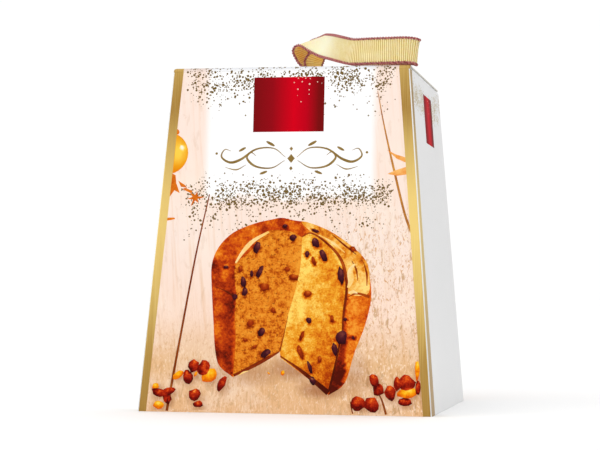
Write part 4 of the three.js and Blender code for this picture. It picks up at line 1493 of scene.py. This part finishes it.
class CARTON_OT_ribbon(bpy.types.Operator):
    """Weaves the carrying ribbon along its way and glues its tails under a card"""

    bl_idname = "carton.ribbon"
    bl_label = "Ribbon handle"

    def execute(self, context):
        look = context.scene.ribbon_look
        steps = 10
        centres = [p * MM for p in curve_through([row[:3] for row in RIBBON_WAY], steps)]
        widths = curve_through([row[3:] for row in RIBBON_WAY], steps)
        rows, length = [], 0.0
        for i, centre in enumerate(centres):
            ahead, behind = centres[min(i + 1, len(centres) - 1)], centres[max(i - 1, 0)]
            way = (ahead - behind).normalized()
            across = (widths[i] - way * widths[i].dot(way)).normalized()
            through = way.cross(across)
            if i:
                length += (centre - centres[i - 1]).length
            rows.append((centre, across, through, length))

        # The ground: a woven strip with ribs that stand slightly proud of a shallow crown.
        half = look.width / 2 - look.braid * 0.55
        columns = 12
        points, map_at, painted_shade_and_highlight = [], [], []
        for skin in (1, -1):
            for centre, across, through, along in rows:
                for k in range(columns + 1):
                    share = 2 * k / columns - 1
                    body = look.thickness / 2 * (1 - 0.35 * share ** 4)
                    points.append(centre + across * half * share + through * skin * body)
                    map_at.append((along, half * share))
                    # Painted light along the ribbon: a warm painted shade on the inner face of the curl and
                    # on the last stretch of the tail, and a painted highlight, stored as a negative value, on
                    # the outer face near the twist.
                    inner = math.exp(-((along / length - 0.13) / 0.08) ** 2) if skin < 0 else 0.0
                    tail = between((along / length - 0.84) / 0.05)
                    pale = math.exp(-((along / length - 0.23) / 0.07) ** 2) if skin > 0 else 0.0
                    painted_shade_and_highlight.append(max(inner, tail) if max(inner, tail) > 0.05 else -pale)
        count, wide = len(rows), columns + 1
        other, faces = count * wide, []

        def cover(starts, near, far, flipped):
            for a in starts:
                quad = [a, a + near, a + near + far, a + far]
                faces.append(quad[::-1] if flipped else quad)

        for skin, flipped in ((0, True), (other, False)):
            cover((skin + i * wide + k for i in range(count - 1) for k in range(columns)), wide, 1, flipped)
        for i in range(count - 1):
            cover([i * wide], other, wide, False)
            cover([i * wide + columns], other, wide, True)
        cover(range(columns), 1, other, True)
        cover(range(other - wide, other - 1), 1, other, False)
        ribbon = mesh_object("ribbon_woven", points, faces)
        treat(ribbon, bpy.ops.mesh.normals_make_consistent, inside=False)
        lay_map(ribbon, map_at, "weave")
        keep_values(ribbon, "painted_shade_and_highlight", painted_shade_and_highlight)
        wear(ribbon, "ribbon_ground")
        smooth(ribbon, 50)

        braids = [self.braid(look, rows, sign) for sign in (-1, 1)]
        for piece in [ribbon] + braids:
            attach(piece, "lid")
        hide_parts("ribbon_handle")

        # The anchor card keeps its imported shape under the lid.
        rewear(frame["nodes"]["ribbon_anchor_card"])
        return {"FINISHED"}

    def braid(self, look, rows, sign):
        """Two strands wound round the ribbon's edge."""
        name = "ribbon_braid_front" if sign < 0 else "ribbon_braid_rear"
        offset = look.width / 2 - look.braid / 2
        strand, wind, pitch, sides = look.braid * 0.26, look.braid * 0.24, 3.5 * MM, 6
        points, faces, map_at = [], [], []
        stations = self.even_stations(rows, sign * offset, pitch / 9)
        for phase in (0.0, math.pi):
            first = len(points)
            for place, out, side, along in stations:
                angle = TURN * along / pitch + phase
                centre = place + (out * math.cos(angle) + side * math.sin(angle)) * wind
                for k in range(sides):
                    turn = TURN * k / sides
                    points.append(centre + (out * math.cos(turn) + side * math.sin(turn)) * strand)
                    map_at.append((along, strand * turn + (SECOND_STRAND if phase else 0)))
            faces.append([first + k for k in reversed(range(sides))])
            for a in range(first, len(points) - sides, sides):
                for k in range(sides):
                    n = (k + 1) % sides
                    faces.append([a + k, a + n, a + sides + n, a + sides + k])
            faces.append(list(range(len(points) - sides, len(points))))
        braid = mesh_object(name, points, faces)
        treat(braid, bpy.ops.mesh.normals_make_consistent, inside=False)
        lay_map(braid, map_at, "weave")
        wear(braid, "ribbon_braid")
        smooth(braid, 80)
        return braid

    def even_stations(self, rows, offset, spacing):
        """Points along one edge at equal spacing, with two directions square to it."""
        line = [(centre + across * offset, across, through) for centre, across, through, _ in rows]
        out, travelled, target = [], 0.0, 0.0
        for (p, a, t), (q, b, u) in zip(line, line[1:]):
            gap = (q - p).length
            while gap > 0 and target <= travelled + gap:
                share = (target - travelled) / gap
                out.append((p.lerp(q, share), a.lerp(b, share).normalized(), t.lerp(u, share).normalized(),
                            target))
                target += spacing
            travelled += gap
        return out


# ---- The loaf, its mould and its bag ----


def noise_round(angle, scale, height):
    """Noise that closes on itself round a circle."""
    return noise.noise(Vector((math.cos(angle) * scale, math.sin(angle) * scale, height)))


def spun(name, profile, sides):
    """A round body: its profile of (radius, height) is drawn as edges and spun about the middle."""
    bpy.ops.mesh.primitive_plane_add(size=1)
    body = settle(bpy.context.object, name)
    body.data.clear_geometry()
    body.data.from_pydata([(r, 0, z) for r, z in profile], [(i, i + 1) for i in range(len(profile) - 1)], [])
    edit(body)
    bpy.ops.mesh.select_all(action="SELECT")
    bpy.ops.mesh.spin(steps=sides, angle=TURN, center=(0, 0, 0), axis=(0, 0, 1))
    leave_edit()
    treat(body, bpy.ops.mesh.remove_doubles, threshold=0.02 * MM)
    treat(body, bpy.ops.mesh.normals_make_consistent, inside=False)
    return body


class CARTON_OT_loaf(bpy.types.Operator):
    """Bakes the loaf, with a scored and blistered crown"""

    bl_idname = "carton.loaf"
    bl_label = "Loaf"

    def execute(self, context):
        low, high = LOAF_LOW.z, LOAF_HIGH.z
        widest, rim = LOAF_HIGH.x, MOULD_HIGH.z
        packed = widest - 3.2 * MM  # radius inside the mould, under the overhanging crown
        profile = [(0, low), (packed * 0.5, low), (packed - 5 * MM, low), (packed - 1.2 * MM, low + 1.4 * MM),
                   (packed, low + 5 * MM)]
        profile += [(packed, low + 5 * MM + (rim - low - 7 * MM) * k / 14) for k in range(1, 15)]
        crown = [(widest - inwards * MM, rim + up * MM) for inwards, up in (
            (1.6, 4), (0.9, 9), (2.4, 15), (7.5, 23.5), (14, 30), (24, 36.5), (38, 41.5))]
        crown += [(widest - 54 * MM, high - 1.4 * MM), (0, high - 0.6 * MM)]
        curve = curve_through([(packed, rim - 2 * MM)] + crown, 5)
        profile += [(p.x, p.y) for p in curve[1:]]
        loaf = spun("loaf_crust", profile, 128)
        bake = []
        for vertex in loaf.data.vertices:
            co = vertex.co.copy()
            radius = math.hypot(co.x, co.y)
            rising = between((co.z - rim) / (10 * MM))
            # The score: a cross cut in the crown, torn wider towards the middle.
            near = min(abs(co.x * math.cos(a) + co.y * math.sin(a)) for a in (0.35, 0.35 + QUARTER))
            wander = 1.6 * MM * noise.noise(co * 60)
            gape = max(1.5 * MM, 4.2 * MM - radius * 0.035)
            cut = math.exp(-((near + wander) / gape) ** 2) * between((co.z - rim - 14 * MM) / (10 * MM))
            lumps, fine = (0.5 + 0.5 * noise.noise(co * scale) for scale in (48, 230))
            sink = rising * (2.0 * MM * lumps + 0.7 * MM * fine) + 3.2 * MM * cut
            if co.z < rim:
                sink = 0.35 * MM * fine if low + 2 * MM < co.z else 0
            outward = Vector((0, 0, 1))
            if radius > 0.5 * MM or rising:
                outward = Vector((co.x, co.y, max(0.0, co.z - rim) * 1.2)).normalized()
            vertex.co = co - outward * sink
            bake.append(between(0.45 + 0.45 * rising * (0.4 + 0.6 * lumps) - 0.95 * cut))
        loaf.data.update()
        keep_values(loaf, "bake", bake)
        wear(loaf, "crust_finish")
        smooth(loaf, 60)
        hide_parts("panettone_loaf")
        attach(loaf, "carton")
        return {"FINISHED"}


class CARTON_OT_mould(bpy.types.Operator):
    """Pleats the paper mould round the loaf"""

    bl_idname = "carton.mould"
    bl_label = "Paper mould"

    def execute(self, context):
        low, high = MOULD_LOW.z, MOULD_HIGH.z
        pleats = 120
        outer, inner = MOULD_HIGH.x, MOULD_HIGH.x - 0.75 * MM
        bpy.ops.mesh.primitive_cylinder_add(vertices=2 * pleats, radius=outer, depth=high - low,
                                            end_fill_type="NOTHING", location=(0, 0, (low + high) / 2))
        wall = settle(bpy.context.object, "mould_wall")
        edit(wall)
        for k in range(1, 9):
            bpy.ops.mesh.select_all(action="SELECT")
            bpy.ops.mesh.bisect(plane_co=(0, 0, low + (high - low) * k / 9), plane_no=(0, 0, 1))
        leave_edit()
        for vertex in wall.data.vertices:
            angle = math.atan2(vertex.co.y, vertex.co.x)
            index = round(angle / TURN * 2 * pleats)
            share = (vertex.co.z - low) / (high - low)
            lean = 0.25 * MM * noise_round(angle, 3, share * 2)
            radius = (outer - 0.15 * MM if index % 2 == 0 else inner) - abs(lean)
            drop = 0.35 * MM * (noise_round(angle, 6, 5) - 0.6) if share > 0.99 else 0
            vertex.co = (radius * math.cos(angle), radius * math.sin(angle), vertex.co.z + drop)
        wall.data.update()
        modify(wall, "SOLIDIFY", thickness=0.22 * MM, offset=-1)
        wear(wall, "mould_finish")
        smooth(wall, 20)
        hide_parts("paper_mould_wall")
        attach(wall, "carton")

        low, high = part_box("paper_mould_base")
        bpy.ops.mesh.primitive_cylinder_add(vertices=96, radius=high.x, depth=0.45 * MM,
                                            location=(0, 0, low.z + 0.3 * MM))
        base = settle(bpy.context.object, "mould_base")
        edit(base)
        choose(base, lambda f: f.normal.z > 0.9, "FACE")
        bpy.ops.mesh.inset(thickness=4 * MM, depth=0)
        bpy.ops.mesh.inset(thickness=0.6 * MM, depth=-0.15 * MM)
        leave_edit()
        wear(base, "mould_finish")
        smooth(base, 25)
        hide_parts("paper_mould_base")
        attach(base, "carton")
        return {"FINISHED"}


class CARTON_OT_bag(bpy.types.Operator):
    """Wraps the loaf in clear film, gathered and tied at its neck"""

    bl_idname = "carton.bag"
    bl_label = "Film bag and tie"

    def execute(self, context):
        base, top = BAG_LOW.z, BAG_HIGH.z
        neck = TIE_LOW.z + 1.5 * MM
        outline = [(0, base + 0.05 * MM), (60 * MM, base + 0.05 * MM), (72.4 * MM, base + 0.6 * MM),
                   (73.4 * MM, base + 6 * MM), (74.1 * MM, 0.04), (74.6 * MM, 0.07), (75.2 * MM, 0.096),
                   (75.0 * MM, 0.110), (69 * MM, 0.1275), (54.5 * MM, 0.142), (32.5 * MM, 0.1525),
                   (14.5 * MM, 0.159), (5.4 * MM, 0.1645), (3.6 * MM, neck), (5.2 * MM, 0.1725),
                   (15 * MM, 0.1800), (25 * MM, 0.1862), (34.5 * MM, top - 1.0 * MM)]
        curve = curve_through(outline, 5)
        bag = spun("film_wrap", [(max(0.0, p.x), max(base + 0.05 * MM, p.y)) for p in curve], 160)
        gathers = 19
        for vertex in bag.data.vertices:
            co = vertex.co
            radius, angle = math.hypot(co.x, co.y), math.atan2(co.y, co.x)
            if radius < 0.2 * MM:
                continue
            gathered, flare = between((co.z - GATHERS_FROM) / (30 * MM)), between((co.z - neck) / (16 * MM))
            crinkle = noise_round(angle, 5, co.z * 55)
            wave = math.sin(gathers * angle + 2.2 * noise_round(angle, 2, co.z * 20))
            lift = 0.0
            if co.z > neck:
                shift = flare * (2.0 * MM * wave + 1.0 * MM * crinkle - 0.5 * MM)
                lift = flare * (1.6 * MM * math.cos(gathers * angle + 1.3) - 1.8 * MM)
            elif co.z < base + 1 * MM:
                shift = 0
            elif co.z < FILM_CLOSE_TO:
                shift = 0.25 * MM * (crinkle - 1)
            else:
                shift = (0.15 * MM + gathered * min(1.1 * MM, radius * 0.10)) * wave * gathered
                shift += 0.35 * MM * (crinkle - 1)
            vertex.co = (co.x + math.cos(angle) * shift, co.y + math.sin(angle) * shift, co.z + lift)
        bag.data.update()
        modify(bag, "SOLIDIFY", thickness=0.08 * MM, offset=-1)
        wear(bag, "film_finish")
        smooth(bag, 50)
        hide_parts("film_bag")
        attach(bag, "carton")

        centre = (TIE_LOW.z + TIE_HIGH.z) / 2
        outer = TIE_HIGH.x
        bpy.ops.mesh.primitive_torus_add(major_segments=48, minor_segments=10, major_radius=outer - 1.05 * MM,
                                         minor_radius=0.85 * MM, location=(0, 0, centre))
        tie = settle(bpy.context.object, "neck_tie")
        for vertex in tie.data.vertices:
            angle = math.atan2(vertex.co.y, vertex.co.x)
            vertex.co.z = centre + (vertex.co.z - centre) * 1.55 + 0.15 * MM * math.sin(2 * angle)
        tie.data.update()
        wear(tie, "tie_wire")
        smooth(tie, 50)
        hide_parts("bag_tie")
        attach(tie, "carton")
        return {"FINISHED"}


# ---- The stage ----


class CARTON_OT_stage(bpy.types.Operator):
    """Sets the pale floor, the soft lights and the camera"""

    bl_idname = "carton.stage"
    bl_label = "Floor, light and camera"

    def execute(self, context):
        look = context.scene.stage_look
        bpy.ops.mesh.primitive_circle_add(vertices=96, radius=40, fill_type="NGON")
        floor = settle(context.object, "studio_floor")
        surface("floor_paper", paint_floor, look.floor)
        wear(floor, "floor_paper")

        world = bpy.data.worlds.new("studio")
        context.scene.world = world
        world.use_nodes = True
        nodes, background = Nodes(world.node_tree), world.node_tree.nodes["Background"]
        seen = nodes.add("ShaderNodeLightPath").outputs["Is Camera Ray"]
        nodes.plug(background.inputs["Color"], (1, 1, 1, 1))
        nodes.plug(background.inputs["Strength"], nodes.math("MULTIPLY_ADD", seen, 1.02 - look.sky, look.sky))
        context.scene.view_settings.view_transform = "Standard"

        for name, place, strength in (("front_light", (-0.8, -1.0, 1.15), look.key),
                                      ("top_light", (0.1, 0.2, 1), look.top)):
            light = add_to_scene(name, bpy.data.lights.new(name, "SUN"))
            light.data.angle, light.data.energy = math.radians(70), strength
            light.location = place
            light.rotation_euler = (-Vector(place)).to_track_quat("-Z", "Y").to_euler()

        camera = add_to_scene("camera", bpy.data.cameras.new("camera"))
        camera.data.lens, camera.data.sensor_width, camera.data.clip_end = look.lens, 36, 50
        turn, rise = look.azimuth, look.elevation
        back = Vector((math.sin(turn) * math.cos(rise), -math.cos(turn) * math.cos(rise), math.sin(rise)))
        right = (-back).cross(Vector((0, 0, 1))).normalized()
        up = right.cross(-back)
        tilted_right = right * math.cos(look.roll) + up * math.sin(look.roll)
        tilted_up = up * math.cos(look.roll) - right * math.sin(look.roll)
        spin = Matrix((tilted_right, tilted_up, back)).transposed()
        camera.matrix_world = Matrix.Translation(Vector(look.target) + back * look.distance) @ spin.to_4x4()
        context.scene.camera = camera
        return {"FINISHED"}


class CARTON_OT_finishes(bpy.types.Operator):
    """Mixes every printed, woven and baked finish"""

    bl_idname = "carton.finishes"
    bl_label = "Finishes"

    def execute(self, context):
        make_materials(context)
        return {"FINISHED"}


class CARTON_PT_panel(bpy.types.Panel):
    """Lists the steps that build the carton, and its sizes and colours"""

    bl_idname = "CARTON_PT_panel"
    bl_label = "Gift carton"
    bl_space_type = "VIEW_3D"
    bl_region_type = "UI"
    bl_category = "Carton"

    def draw(self, context):
        for step in STEPS:
            self.layout.operator(step.bl_idname)
        for name in SETTINGS:
            box = self.layout.box()
            settings = getattr(context.scene, name)
            for key in settings.__annotations__:
                box.prop(settings, key)


STEPS = (CARTON_OT_stage, CARTON_OT_finishes, CARTON_OT_sleeve, CARTON_OT_base, CARTON_OT_lid,
         CARTON_OT_ribbon, CARTON_OT_loaf, CARTON_OT_mould, CARTON_OT_bag)
SETTINGS = {"carton_sizes": CartonSizes, "print_colours": PrintColours, "ribbon_look": RibbonLook,
            "food_look": FoodLook, "stage_look": StageLook}


def register():
    for kind in (*SETTINGS.values(), *STEPS, CARTON_PT_panel):
        bpy.utils.register_class(kind)
    for name, kind in SETTINGS.items():
        setattr(bpy.types.Scene, name, PointerProperty(type=kind))


def unregister():
    for name in SETTINGS:
        delattr(bpy.types.Scene, name)
    for kind in (CARTON_PT_panel, *reversed(STEPS), *SETTINGS.values()):
        bpy.utils.unregister_class(kind)


def main():
    register()
    for step in STEPS:
        getattr(bpy.ops.carton, step.bl_idname.split(".")[1])()


if __name__ == "__main__":
    main()
